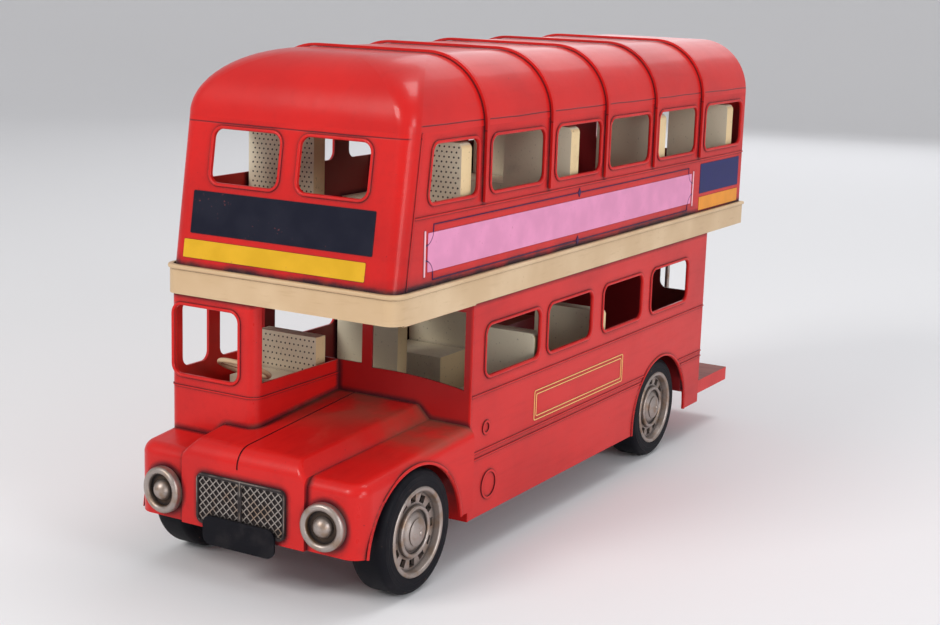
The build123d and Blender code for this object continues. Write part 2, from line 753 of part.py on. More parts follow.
# Pressed ridges along the sides, wires down their front edges and the fold round the cab
disc_presses = ((12.3, 49.0, 2.7), (15.5, 26.3, 5.6))
with BuildPart() as mouldings:
    for side in (1, -1):
        side_plane = Plane(origin=(side * half, 0, 0), x_dir=(0, side, 0), z_dir=(side, 0, 0))
        for ridge_z in side_ridge_heights:
            stretches = [(bulkhead_y + 2 * ridge_radius, saloon_rear_y)]
            if ridge_z < arch_z + arch_radius:
                reach = math.sqrt((arch_radius + 2 * lip_radius) ** 2 - (ridge_z - ridge_radius - arch_z) ** 2)
                arch_y = rear_axle_y + rear_arch_shift
                stretches = [(stretches[0][0], arch_y - reach), (arch_y + reach, saloon_rear_y)]
            for start, end in stretches:
                add(ridge(side_plane, (side * start, ridge_z), (side * end, ridge_z)))
        ridge_front_y = rake_y(upper_ridge_z) + nose_corner + 2 * ridge_radius
        add(ridge(side_plane, (side * ridge_front_y, upper_ridge_z), (side * rear_y, upper_ridge_z)))
        # Wire along the raked front edge of the upper sheet
        edge_low_y = front_y + nose_corner + ridge_radius
        edge_high_y = nose_top_y + nose_corner + ridge_radius
        add(ridge(side_plane, (side * edge_low_y, band_top_z), (side * edge_high_y, roof_base_z)))
    left_plane = Plane(origin=(half, 0, 0), x_dir=(0, 1, 0), z_dir=(1, 0, 0))
    edge_y = bulkhead_y + ridge_radius
    add(ridge(left_plane, (edge_y, skirt_z), (edge_y, band_z)))
    for back, press_z, radius in disc_presses:
        with BuildSketch(left_plane):
            with Locations((bulkhead_y + back, press_z)):
                Circle(radius)
                Circle(radius - 2 * ridge_radius, mode=Mode.SUBTRACT)
        extrude(amount=ridge_radius)
save(mouldings.part, "side_mouldings")

# Lower floor pan, cut round the rear wheels and pressed up over their axle
with BuildPart() as floor_pan:
    with BuildSketch(Plane.XY.offset(floor_z - sheet)):
        with Locations((0, bulkhead_y + sheet)):
            Rectangle(2 * inner, saloon_length - 2 * sheet, align=(Align.CENTER, Align.MIN))
        for side in (1, -1):
            with Locations((side * inner, rear_axle_y)):
                Rectangle(
                    2 * (inner - wheel_box_inner),
                    2 * wheel_box_reach,
                    mode=Mode.SUBTRACT,
                )
    extrude(amount=sheet)
    with Locations((0, rear_axle_y, floor_z - sheet)):
        tunnel_base = (Align.CENTER, Align.CENTER, Align.MIN)
        Box(2 * wheel_box_inner, 2 * (axle_tunnel_half + sheet), axle_tunnel_rise + sheet, align=tunnel_base)
        Box(2 * wheel_box_inner, 2 * axle_tunnel_half, axle_tunnel_rise, align=tunnel_base, mode=Mode.SUBTRACT)
save(floor_pan.part, "floor_pan")

# Narrow pan between the front wheels

with BuildPart() as front_pan:
    with BuildSketch(Plane.XY.offset(floor_z - sheet)):
        with Locations((0, nose_y + wing_setback + sheet + seam_gap)):
            Rectangle(
                2 * pan_front_half,
                nose_length - wing_setback - sheet - seam_gap,
                align=(Align.CENTER, Align.MIN),
            )
    extrude(amount=sheet)
save(front_pan.part, "front_pan")

# Boxes over the rear wheels, open to the side, with ears below the floor that carry the axle
with BuildPart() as wheel_boxes:
    box_low_z = floor_z - sheet
    for side in (1, -1):
        middle_x = side * (wheel_box_inner + inner) / 2
        with Locations((middle_x, rear_axle_y, box_low_z)):
            Box(
                inner - wheel_box_inner,
                2 * wheel_box_reach,
                wheel_box_z - box_low_z,
                align=(Align.CENTER, Align.CENTER, Align.MIN),
            )
        with Locations((middle_x + side * sheet, rear_axle_y, box_low_z)):
            Box(
                inner - wheel_box_inner,
                2 * (wheel_box_reach - sheet),
                wheel_box_z - sheet - box_low_z,
                align=(Align.CENTER, Align.CENTER, Align.MIN),
                mode=Mode.SUBTRACT,
            )
        with BuildSketch(Plane.YZ.offset(side * wheel_box_inner)):
            with Locations((rear_axle_y, hanger_low_z)):
                Rectangle(2 * hanger_half, box_low_z - hanger_low_z, align=(Align.CENTER, Align.MIN))
            with Locations((rear_axle_y, tyre_radius)):
                Circle(axle_radius, mode=Mode.SUBTRACT)
        extrude(amount=side * sheet)
save(wheel_boxes.part, "wheel_boxes")

# Rear platform: a folded tray
with BuildPart() as platform:
    with Locations((0, saloon_rear_y, floor_z)):
        Box(
            2 * inner,
            platform_length - sheet,
            platform_skirt,
            align=(Align.CENTER, Align.MIN, Align.MAX),
        )
    with Locations((0, saloon_rear_y + sheet, floor_z - sheet)):
        Box(
            2 * (inner - sheet),
            platform_length - 3 * sheet,
            platform_skirt,
            align=(Align.CENTER, Align.MIN, Align.MAX),
            mode=Mode.SUBTRACT,
        )
save(platform.part, "rear_platform")

# Closed offside part of the lower rear, and the partition between saloon and platform
rear_lower_light = 30.0
with BuildPart() as rear_lower:
    with BuildSketch(Plane.XZ.offset(-rear_y)):
        with Locations((-inner, floor_z - platform_skirt)):
            Rectangle(inner + rear_panel_right_x, deck_under_z - floor_z + platform_skirt, align=(Align.MIN, Align.MIN))
        with Locations(((rear_panel_right_x - inner) / 2, (lower_sill_z + lower_head_z) / 2)):
            RectangleRounded(rear_lower_light, lower_head_z - lower_sill_z, window_corner, mode=Mode.SUBTRACT)
    extrude(amount=sheet)
save(rear_lower.part, "rear_lower_panel")

partition_jamb = 4.0       # sheet beside the partition's lights
with BuildPart() as partition:
    with BuildSketch(Plane.XZ.offset(-saloon_rear_y)):
        with Locations((0, floor_z - sheet)):
            Rectangle(2 * inner, deck_under_z - floor_z + sheet, align=(Align.CENTER, Align.MIN))
        with Locations((doorway_right_x, floor_z - sheet)):
            Rectangle(
                doorway_left_x - doorway_right_x,
                doorway_head_z - floor_z + sheet,
                align=(Align.MIN, Align.MIN),
                mode=Mode.SUBTRACT,
            )
        for start, end in ((-inner, doorway_right_x), (doorway_left_x, inner)):
            with Locations(((start + end) / 2, (lower_sill_z + lower_head_z) / 2)):
                RectangleRounded(
                    end - start - 2 * partition_jamb,
                    lower_head_z - lower_sill_z,
                    window_corner,
                    mode=Mode.SUBTRACT,
                )
    extrude(amount=sheet)
save(partition.part, "saloon_partition")

# Grab pole on the platform
with BuildPart() as pole:
    with BuildSketch(Plane.XY.offset(floor_z)):
        with Locations((pole_x, saloon_rear_y + pole_back)):
            Circle(pole_radius)
    extrude(amount=deck_under_z - floor_z)
save(pole.part, "grab_pole")

# Staircase: one folded strip from the platform up to the stairwell
stair_rise = (deck_z - floor_z) / stair_steps
stair_run = (stair_start_y - stair_front_y) / stair_steps
with BuildPart() as stair:
    with BuildSketch(Plane.YZ.offset(stair_outer_x)):
        upper_path = [(stair_start_y, floor_z)]
        for step in range(stair_steps - 1):
            tread_z = floor_z + (step + 1) * stair_rise
            upper_path.append((stair_start_y - step * stair_run, tread_z))
            upper_path.append((stair_start_y - (step + 1) * stair_run, tread_z))
        upper_path.append((stair_start_y - (stair_steps - 1) * stair_run, deck_z))
        lower_path = [(y - sheet, max(z - sheet, floor_z)) for y, z in upper_path]
        lower_path[-1] = (lower_path[-1][0], deck_z)
        with BuildLine():
            Polyline(*upper_path, *reversed(lower_path), close=True)
        make_face()
    extrude(amount=stair_width)
save(stair.part, "staircase")


def seat(back_y, base_z, cushion_z, back_z, x_low, x_high):
    """Closed tin seat; back_y is the front face of its back."""
    with BuildPart() as bench:
        with BuildSketch(Plane.YZ.offset(x_low)):
            with BuildLine():
                Polyline(
                    (back_y - seat_depth, base_z),
                    (back_y + seat_back_thickness, base_z),
                    (back_y + seat_back_thickness, back_z),
                    (back_y, back_z),
                    (back_y, cushion_z),
                    (back_y - seat_depth, cushion_z),
                    close=True,
                )
            make_face()
        extrude(amount=x_high - x_low)
        back_ends = bench.edges().filter_by(Axis.Y).group_by(Axis.Z)[-1]
        fillet(back_ends, seat_back_corner)
    return bench.part


for side, side_name in ((1, "left"), (-1, "right")):
    x_low = min(side * seat_inner, side * seat_outer)
    x_high = max(side * seat_inner, side * seat_outer)
    with BuildPart() as lower_seats:
        for offset_y in lower_seat_offsets:
            add(seat(bulkhead_y + offset_y, floor_z, lower_cushion_z, lower_back_z, x_low, x_high))
    save(lower_seats.part, f"lower_seats_{side_name}")
    with BuildPart() as upper_seats:
        for offset_y in upper_seat_offsets:
            # No seat stands over the stairwell
            if side > 0 or bulkhead_y + offset_y + seat_back_thickness < stair_front_y:
                add(seat(bulkhead_y + offset_y, deck_z, upper_cushion_z, upper_back_z, x_low, x_high))
    save(upper_seats.part, f"upper_seats_{side_name}")

# Driver's seat, standing on the bonnet pressing inside the cab
driver_back_y = bulkhead_y - driver_back_gap
with BuildPart() as driver_seat:
    with BuildSketch(Plane.YZ.offset(-driver_seat_far)):
        with BuildLine():
            Polyline(
                (driver_back_y - driver_cushion_depth, cab_low_z),
                (driver_back_y + driver_back_thickness, cab_low_z),
                (driver_back_y + driver_back_thickness, driver_back_z),
                (driver_back_y, driver_back_z),
                (driver_back_y, driver_cushion_z),
                (driver_back_y - driver_cushion_depth, driver_cushion_z),
                close=True,
            )
        make_face()
    extrude(amount=driver_seat_far - driver_seat_near)
    add(pressed_nose(-seam_gap, apron_z), mode=Mode.SUBTRACT)
save(driver_seat.part, "driver_seat")

# Steering wheel on its column
wheel_rim_radius = 9.4
wheel_wire = 0.9
wheel_spoke = 2.4
wheel_hub_radius = 2.0
column_radius = 1.0
column_length = 28.0
wheel_hub_x = 27.5         # from the centre line
wheel_hub_ahead = 34.5     # ahead of the bulkhead
wheel_hub_z = 69.0
hub = Vector(-wheel_hub_x, bulkhead_y - wheel_hub_ahead, wheel_hub_z)
column_tilt = math.radians(28)
column_dir = Vector(0, math.sin(column_tilt), math.cos(column_tilt))
with BuildPart() as steering:
    rim_plane = Plane(origin=hub, x_dir=(1, 0, 0), z_dir=column_dir)
    with BuildSketch(Plane(origin=hub, x_dir=(1, 0, 0), z_dir=rim_plane.y_dir)):
        with Locations((wheel_rim_radius, 0)):
            Circle(wheel_wire)
    revolve(axis=Axis(hub, column_dir))
    with BuildSketch(rim_plane.offset(-wheel_wire / 2)):
        Circle(wheel_hub_radius)
        with PolarLocations(wheel_rim_radius / 2, 3, start_angle=90):
            Rectangle(wheel_rim_radius, wheel_spoke)
    extrude(amount=wheel_wire)
    with BuildSketch(rim_plane):
        Circle(column_radius)
    extrude(amount=-column_length)
    add(pressed_nose(-seam_gap, apron_z), mode=Mode.SUBTRACT)
save(steering.part, "steering_wheel")

# Axles, and the hangers that carry the front one
axle_end_depth = 4.0       # axle ends inside the discs, behind the tyres' faces
for name, axle_y, face_x in (
    ("front_axle", front_axle_y, front_wheel_face),
    ("rear_axle", rear_axle_y, rear_wheel_face),
):
    with BuildPart() as axle:
        with BuildSketch(Plane.YZ.offset(axle_end_depth - face_x)):
            with Locations((axle_y, tyre_radius)):
                Circle(axle_radius)
        extrude(amount=2 * (face_x - axle_end_depth))
    save(axle.part, name)

with BuildPart() as hangers:
    for side in (-1, 1):
        with BuildSketch(Plane.YZ.offset(side * hanger_x - hanger_thickness / 2)):
            with Locations((front_axle_y, floor_z - sheet)):
                Rectangle(2 * hanger_half, floor_z - sheet - hanger_low_z, align=(Align.CENTER, Align.MAX))
            with Locations((front_axle_y, tyre_radius)):
                Circle(axle_radius, mode=Mode.SUBTRACT)
        extrude(amount=hanger_thickness)
save(hangers.part, "front_hangers")

# Wheels: a tyre and a stepped disc with slots and a domed cap, turned about the axle
disc_slots = 12
slot_ring_radius = 11.7
slot_width = 2.8
slot_length = 3.2
lip_width = 2.0            # half-round lip at the tyre
lip_seat_depth = 0.6       # foot of the lip, in from the tyre's face
web_depth = 2.4            # slotted web
web_foot_inset = 0.4       # slope of the wall between the lip and the web
web_thickness = 1.4
bead_seat_depth = 6.0      # how far in the disc grips the tyre
hub_ring_radius = 9.4      # half-round ring round the hub
hub_ring_width = 1.6
hub_ring_depth = 1.5
hub_dip_depth = 2.1        # step inside the ring
cone_radius = 7.3
cap_radius = 5.0
cap_seat_depth = 0.7       # top of the cone
cap_foot_depth = 0.2
cap_proud = 1.2
nub_radius = 1.0
nub_proud = 1.7
sleeve_wall = 2.5
sleeve_end = 1.0           # sleeve inside the tyre's inner face
cap_floor_depth = 2.6
for name, axle_y, face_x, side in (
    ("front_left", front_axle_y, front_wheel_face, 1),
    ("front_right", front_axle_y, front_wheel_face, -1),
    ("rear_left", rear_axle_y, rear_wheel_face, 1),
    ("rear_right", rear_axle_y, rear_wheel_face, -1),
):
    outward = Vector(side, 0, 0)
    centre = Vector(side * face_x, axle_y, tyre_radius)
    # Local x is the radius, local y points outwards from the tyre's outer face
    section = Plane(origin=centre, x_dir=(0, 0, 1), z_dir=Vector(0, 0, 1).cross(outward))
    spin = Axis(centre, outward)
    with BuildPart() as tyre:
        with BuildSketch(section):
            with BuildLine():
                Line((rim_radius, -tyre_width), (tyre_radius - tyre_shoulder, -tyre_width))
                RadiusArc(
                    (tyre_radius - tyre_shoulder, -tyre_width),
                    (tyre_radius, tyre_shoulder - tyre_width),
                    -tyre_shoulder,
                )
                Line((tyre_radius, tyre_shoulder - tyre_width), (tyre_radius, -tyre_shoulder))
                RadiusArc((tyre_radius, -tyre_shoulder), (tyre_radius - tyre_shoulder, 0), -tyre_shoulder)
                Line((tyre_radius - tyre_shoulder, 0), (rim_radius, 0))
                Line((rim_radius, 0), (rim_radius, -tyre_width))
            make_face()
        revolve(axis=spin)
    save(tyre.part, f"{name}_tyre")
    with BuildPart() as disc:
        with BuildSketch(section):
            bore = axle_radius + axle_fit
            with BuildLine():
                Polyline(
                    (0, -cap_floor_depth),
                    (bore, -cap_floor_depth),
                    (bore, sleeve_end - tyre_width),
                    (bore + sleeve_wall, sleeve_end - tyre_width),
                    (bore + sleeve_wall, -web_depth - web_thickness),
                    (rim_radius - lip_width, -web_depth - web_thickness),
                    (rim_radius - lip_width / 2, -bead_seat_depth),
                    (rim_radius, -bead_seat_depth),
                    (rim_radius, -lip_seat_depth),
                )
                half_round(rim_radius - lip_width / 2, lip_width / 2, -lip_seat_depth)
                Polyline(
                    (rim_radius - lip_width, -lip_seat_depth),
                    (rim_radius - lip_width - web_foot_inset, -web_depth),
                    (hub_ring_radius, -web_depth),
                    (hub_ring_radius, -hub_ring_depth),
                )
                half_round(hub_ring_radius - hub_ring_width / 2, hub_ring_width / 2, -hub_ring_depth)
                Polyline(
                    (hub_ring_radius - hub_ring_width, -hub_ring_depth),
                    (hub_ring_radius - hub_ring_width, -hub_dip_depth),
                    (cone_radius, -hub_dip_depth),
                    (cap_radius, -cap_seat_depth),
                    (cap_radius, -cap_foot_depth),
                )
                dome_arc(cap_radius, -cap_foot_depth, cap_proud)
                Line((0, cap_proud), (0, -cap_floor_depth))
            make_face()
            with BuildLine():
                Line((0, 0), (nub_radius, 0))
                Line((nub_radius, 0), (nub_radius, nub_proud - nub_radius / 2))
                dome_arc(nub_radius, nub_proud - nub_radius / 2, nub_proud)
                Line((0, nub_proud), (0, 0))
            make_face()
        revolve(axis=spin)
        with BuildSketch(Plane(origin=centre, x_dir=(0, 1, 0), z_dir=outward).offset(sheet - web_depth)):
            with PolarLocations(slot_ring_radius, disc_slots):
                Rectangle(slot_width, slot_length)
        extrude(amount=-2 * sheet - web_thickness, mode=Mode.SUBTRACT)
    save(disc.part, f"{name}_disc")
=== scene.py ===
"""Looks of the toy half-cab double decker bus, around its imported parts.

Fields hold millimetres in the frame of the part; meshes are made in metres.
"""

from __future__ import annotations

import json
import logging
import math
from dataclasses import dataclass
from enum import Enum
from typing import Callable, Optional, Sequence, Union

import bmesh
import bpy
from bmesh.types import BMesh
from bpy.types import Material, Node, NodeSocket, NodeTree, Object
from mathutils import Matrix, Vector

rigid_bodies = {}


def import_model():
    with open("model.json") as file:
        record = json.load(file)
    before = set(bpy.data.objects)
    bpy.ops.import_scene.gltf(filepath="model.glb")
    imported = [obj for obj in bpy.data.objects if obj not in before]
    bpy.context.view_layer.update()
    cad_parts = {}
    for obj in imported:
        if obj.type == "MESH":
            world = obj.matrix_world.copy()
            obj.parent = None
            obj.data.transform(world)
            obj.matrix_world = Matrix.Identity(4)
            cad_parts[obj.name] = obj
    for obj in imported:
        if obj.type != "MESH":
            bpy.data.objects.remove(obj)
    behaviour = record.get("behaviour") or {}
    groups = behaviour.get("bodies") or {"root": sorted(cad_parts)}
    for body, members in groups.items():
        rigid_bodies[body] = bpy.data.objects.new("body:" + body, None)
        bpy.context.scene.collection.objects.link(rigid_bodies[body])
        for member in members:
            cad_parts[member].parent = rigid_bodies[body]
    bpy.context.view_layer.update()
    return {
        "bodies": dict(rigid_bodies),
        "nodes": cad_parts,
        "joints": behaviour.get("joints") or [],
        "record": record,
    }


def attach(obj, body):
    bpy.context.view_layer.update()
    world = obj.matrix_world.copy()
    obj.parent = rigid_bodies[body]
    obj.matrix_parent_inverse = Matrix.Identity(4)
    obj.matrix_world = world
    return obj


log = logging.getLogger("toy_bus")

MM = 0.001

# Share of a plate's thickness that its rounded rim takes
RIM_SHARE = 0.45
# Height of a row over the pitch, where rows of holes are staggered
ROW_SHARE = 0.87

Colour = tuple[float, float, float, float]
Point2 = tuple[float, float]
Point3 = tuple[float, float, float]
Box2 = tuple[Point2, Point2]
Nodes = dict[str, Object]
Settings = Optional[dict[str, object]]
Inputs = Optional[dict[Union[int, str], object]]

# Places shared by several sub-assemblies
BULKHEAD_Y = -91.5
HALF_WIDTH = 48.5
INNER_HALF = 47.7
FRONT_Y = -143.0
REAR_Y = 163.5
NOSE_Y = -162.5
NOSE_BASE_Z = 107.8
ROOF_BASE_Z = 161.0
NOSE_RAKE = 8.0
NOSE_RISE = ROOF_BASE_Z - NOSE_BASE_Z
TYRE_RADIUS = 22.5
FRONT_AXLE_Y = BULKHEAD_Y - 36.6
REAR_AXLE_Y = BULKHEAD_Y + 170.0


# Nodes


def add_node(tree: NodeTree, kind: str, settings: Settings, inputs: Inputs) -> Node:
    """Adds a node to a tree.

    Args:
        tree: the tree.
        kind: the node's type name.
        settings: properties set before its sockets.
        inputs: values or output sockets by input name or index.

    Returns:
        The node.
    """
    made = tree.nodes.new(kind)
    for key, value in (settings or {}).items():
        setattr(made, key, value)
    for key, value in (inputs or {}).items():
        if isinstance(value, NodeSocket):
            tree.links.new(value, made.inputs[key])
        else:
            made.inputs[key].default_value = value
    return made


def _math(operation: str, reflected: bool = False) -> Callable[[Signal, Value], Signal]:
    """Makes an operator of Signal.

    Args:
        operation: the Math node's operation.
        reflected: True where the signal stands on the operator's right.

    Returns:
        A method that adds that node.
    """

    def combine(self: Signal, other: Value) -> Signal:
        """Adds one Math node."""
        first, second = (other, self) if reflected else (self, other)
        return self.graph.node("ShaderNodeMath", {"operation": operation}, {0: first, 1: second})

    return combine


class Signal:
    """One output of a shader graph that takes part in arithmetic."""

    def __init__(self, graph: ShaderGraph, socket: NodeSocket) -> None:
        """Keeps the graph and the output socket."""
        self.graph = graph
        self.socket = socket

    __add__ = _math("ADD")
    __radd__ = _math("ADD", reflected=True)
    __sub__ = _math("SUBTRACT")
    __rsub__ = _math("SUBTRACT", reflected=True)
    __mul__ = _math("MULTIPLY")
    __rmul__ = _math("MULTIPLY", reflected=True)
    __pow__ = _math("POWER")

    def __abs__(self) -> Signal:
        """Absolute value."""
        return self.graph.node("ShaderNodeMath", {"operation": "ABSOLUTE"}, {0: self})

    def rise(self, low: float, high: float) -> Signal:
        """Smooth step from 0 at low to 1 at high; low above high falls instead.

        Args:
            low: value at which the result is 0.
            high: value at which the result is 1.

        Returns:
            The step as a new signal.
        """
        if low > high:
            return 1.0 - self.rise(high, low)
        ends = {"Value": self, "From Min": low, "From Max": high}
        return self.graph.node("ShaderNodeMapRange", {"interpolation_type": "SMOOTHSTEP"}, ends)

    def near(self, centre: float, reach: float) -> Signal:
        """1 at centre, falling to 0 at a distance of reach."""
        return abs(self - centre).rise(reach, 0.0)


Value = Union[Signal, float]


class ShaderGraph:
    """A material's nodes, ending in one principled surface."""

    def __init__(self, name: str) -> None:
        """Makes an empty material.

        Args:
            name: the material's name.
        """
        self.material = bpy.data.materials.new(name)
        self.material.use_nodes = True
        self.tree = self.material.node_tree
        self.tree.nodes.clear()
        self.end = self.tree.nodes.new("ShaderNodeOutputMaterial")

    def node(
        self, kind: str, settings: Settings = None, inputs: Inputs = None, output: int | str = 0
    ) -> Signal:
        """Adds any node.

        Args:
            kind: the node's type name.
            settings: properties set before its sockets.
            inputs: values or signals by socket name or index.
            output: which output the result stands for.

        Returns:
            The chosen output as a signal.
        """
        sockets = {key: v.socket if isinstance(v, Signal) else v for key, v in (inputs or {}).items()}
        made = add_node(self.tree, kind, settings, sockets)
        return Signal(self, made.outputs[output])

    def split(self, output: str) -> tuple[Signal, Signal, Signal]:
        """X, Y and Z of one of the texture coordinates."""
        vector = self.node("ShaderNodeTexCoord", output=output)
        return tuple(self.node("ShaderNodeSeparateXYZ", None, {0: vector}, axis) for axis in range(3))

    def place(self) -> tuple[Signal, Signal, Signal]:
        """X, Y and Z of the surface point in millimetres, in the part's frame."""
        x, y, z = self.split("Object")
        return x * 1000.0, y * 1000.0, z * 1000.0

    def facing(self) -> tuple[Signal, Signal, Signal]:
        """X, Y and Z of the surface normal in the part's frame."""
        return self.split("Normal")

    def noise(self, size: float, detail: float = 3.0, stretch: Sequence[float] = (1.0, 1.0, 1.0)) -> Signal:
        """Noise from 0 to 1.

        Args:
            size: size of its spots in millimetres.
            detail: number of octaves.
            stretch: how much longer the spots are along each axis.

        Returns:
            The noise value.
        """
        point = self.node("ShaderNodeTexCoord", output="Object")
        scale = tuple(1.0 / s for s in stretch)
        drawn = self.node("ShaderNodeMapping", None, {"Vector": point, "Scale": scale})
        fineness = {"Scale": 1.0 / (size * MM), "Detail": detail}
        return self.node("ShaderNodeTexNoise", None, {"Vector": drawn, **fineness})

    def blend(self, mask: Value, first: Signal | Colour, second: Signal | Colour) -> Signal:
        """Colour that goes from first to second as mask goes from 0 to 1."""
        return self.node("ShaderNodeMix", {"data_type": "RGBA"}, {0: mask, 6: first, 7: second}, 2)

    def crevice(self, reach: float) -> Signal:
        """1 in seams and beside raised beads, 0 on open surfaces.

        Args:
            reach: how far in millimetres a neighbouring surface still counts.

        Returns:
            The share of close cover.
        """
        return 1.0 - self.node("ShaderNodeAmbientOcclusion", {"samples": 6}, {"Distance": reach * MM}, "AO")

    def bump(self, height: Signal, depth: float) -> Signal:
        """Normal that follows a height of 0 to 1, depth millimetres deep."""
        return self.node("ShaderNodeBump", None, {"Strength": 1.0, "Distance": depth * MM, "Height": height})

    def surface(self, **sockets: object) -> Material:
        """Ends the graph in a principled surface.

        Args:
            **sockets: its sockets, with underscores for the spaces in their names.

        Returns:
            The finished material.
        """
        inputs = {key.replace("_", " "): value for key, value in sockets.items()}
        shader = self.node("ShaderNodeBsdfPrincipled", None, inputs)
        self.tree.links.new(shader.socket, self.end.inputs["Surface"])
        return self.material


# Finishes


@dataclass(frozen=True)
class RedEnamel:
    """Hand-brushed red enamel with brown dust, and dark wash and painted shade in seams and beside beads."""

    colour: Colour = (0.63, 0.012, 0.010, 1.0)
    deep: Colour = (0.42, 0.007, 0.008, 1.0)
    # Painted shade of the interior, on its inner faces
    indoor_shade: Colour = (0.20, 0.012, 0.014, 1.0)
    # Dark wash; the same colour paints the shade in seams and beside beads
    wash_and_shade: Colour = (0.022, 0.006, 0.012, 1.0)
    dust: Colour = (0.17, 0.068, 0.042, 1.0)
    front_lap_z: float = 159.2
    lap_reach: float = 0.42
    wash_and_shade_reach: float = 2.4
    indoors: bool = False
    floor_z: float = 25.0
    ceiling_z: float = 155.0
    bonnet_low_z: float = 43.0
    bonnet_high_z: float = 57.5
    foot_top_z: float = 114.5

    def material(self, name: str) -> Material:
        """Makes the enamel, with painted shade where it is indoors.

        Args:
            name: the material's name.

        Returns:
            The material.
        """
        g = ShaderGraph(name)
        x, y, z = g.place()
        normal_x, normal_y, normal_z = g.facing()
        clouds = g.noise(38.0, 4.0)
        streaks = g.noise(2.4, 3.0, (1.0, 9.0, 1.0))
        specks = g.noise(1.1, 2.0)
        crevice = g.crevice(self.wash_and_shade_reach)
        base = g.blend(clouds.rise(0.35, 0.75) * 0.55 + streaks.rise(0.45, 0.8) * 0.2, self.colour, self.deep)
        # Painted shade on the inner faces of the sheets: between the sides, the floor, the ceiling, the
        # bulkhead and the rear
        across = abs(x).rise(HALF_WIDTH - 0.3, INNER_HALF + 0.1)
        upright = z.rise(self.floor_z - 1.0, self.floor_z + 1.0)
        behind = y.rise(BULKHEAD_Y - 0.4, BULKHEAD_Y + 0.4)
        below = z.rise(self.ceiling_z + 5.0, self.ceiling_z - 5.0)
        ahead = y.rise(REAR_Y - 0.1, REAR_Y - 0.6)
        indoor_shade_mask = 1.0 if self.indoors else across * upright * behind * below * ahead
        base = g.blend(indoor_shade_mask, base, self.indoor_shade)
        outside = 1.0 - indoor_shade_mask
        wander = g.noise(24.0, 2.0) * 0.8
        lap_line = (z + wander).near(self.front_lap_z + 0.4, self.lap_reach)
        lap = lap_line * normal_y.rise(-0.55, -0.8) * outside
        # Dark wash and painted shade in the seams and beside the beads, and the dark line of the front lap
        seam_wash_and_shade = crevice.rise(0.06, 0.24) * (0.7 + 0.3 * clouds) + lap * 0.8
        # Darker in cloudy patches along the foot of the upper sheets, just above the waist band
        above = z.rise(NOSE_BASE_Z - 0.4, NOSE_BASE_Z - 0.1)
        foot = z.rise(self.foot_top_z, NOSE_BASE_Z + 0.2) * above * outside
        foot_darkening = foot * g.noise(13.0, 4.0).rise(0.34, 0.66) * 0.6
        base = g.blend(seam_wash_and_shade + foot_darkening, base, self.wash_and_shade)
        # Brown dust lies where the bonnet meets the bulkhead and the cab
        low = z.rise(self.bonnet_low_z - 2.0, self.bonnet_low_z + 2.0)
        high = z.rise(self.bonnet_high_z + 1.0, self.bonnet_high_z - 1.0)
        lies = normal_z.rise(0.35, 0.8) * high * low
        back = y.rise(BULKHEAD_Y - 52.0, BULKHEAD_Y - 8.0)
        dust = lies * back * (g.noise(17.0, 5.0).rise(0.30, 0.62) * 0.62 + 0.08)
        dust = dust + crevice.rise(0.04, 0.2) * g.noise(6.0, 4.0).rise(0.45, 0.75) * 0.35
        base = g.blend(dust, base, self.dust)
        # Orange-peel paint on the rolled corners of the front sheets breaks up their shine
        corner = abs(normal_x).near(0.65, 0.3) * y.rise(FRONT_Y + 14.0, FRONT_Y + 12.5) * outside
        chips = specks.rise(0.735, 0.765) * g.noise(14.0, 2.0).rise(0.5, 0.62)
        base = g.blend(chips * 0.75, base, self.wash_and_shade)
        rough = 0.26 + 0.12 * clouds + 0.38 * seam_wash_and_shade + 0.4 * dust + 0.1 * streaks - 0.08 * corner
        ripple = g.noise(16.0, 3.0) * 0.8 + streaks * 0.12 + specks * (0.08 + 0.4 * corner) - lap * 0.6
        return g.surface(
            Base_Color=base,
            Roughness=rough,
            Specular_IOR_Level=0.22,
            Coat_Weight=0.13,
            Coat_Roughness=0.08,
            Normal=g.bump(ripple, 0.16),
        )


@dataclass(frozen=True)
class RoofEnamel(RedEnamel):
    """The same enamel on the roof: the dark lap of its lower edge, dark wash and painted shade by the hoops.
    """

    lap_z: float = 163.2

    def material(self, name: str) -> Material:
        """Makes the roof's enamel.

        Args:
            name: the material's name.

        Returns:
            The material.
        """
        g = ShaderGraph(name)
        _, y, z = g.place()
        clouds = g.noise(46.0, 4.0)
        streaks = g.noise(3.0, 3.0, (1.0, 12.0, 1.0))
        wander = g.noise(24.0, 2.0) * 0.9
        lap = (z + wander).near(self.lap_z + 0.45, self.lap_reach) * y.rise(FRONT_Y + 13.0, FRONT_Y + 15.0)
        crevice = g.crevice(self.wash_and_shade_reach)
        base = g.blend(clouds.rise(0.35, 0.75) * 0.5 + streaks.rise(0.5, 0.8) * 0.15, self.colour, self.deep)
        # Dark wash and painted shade beside the hoops
        seam_wash_and_shade = crevice.rise(0.08, 0.30) * (0.65 + 0.35 * clouds)
        base = g.blend(seam_wash_and_shade, base, self.wash_and_shade)
        base = g.blend(lap * 0.85, base, self.wash_and_shade)
        chips = g.noise(1.3, 2.0).rise(0.74, 0.765) * g.noise(18.0, 2.0).rise(0.52, 0.62)
        base = g.blend(chips * 0.6, base, self.wash_and_shade)
        rough = 0.22 + 0.12 * clouds + 0.35 * seam_wash_and_shade + 0.08 * streaks
        ripple = g.noise(22.0, 3.0) * 0.85 + streaks * 0.08 - lap * 0.6
        return g.surface(
            Base_Color=base,
            Roughness=rough,
            Specular_IOR_Level=0.25,
            Coat_Weight=0.18,
            Coat_Roughness=0.08,
            Normal=g.bump(ripple, 0.2),
        )


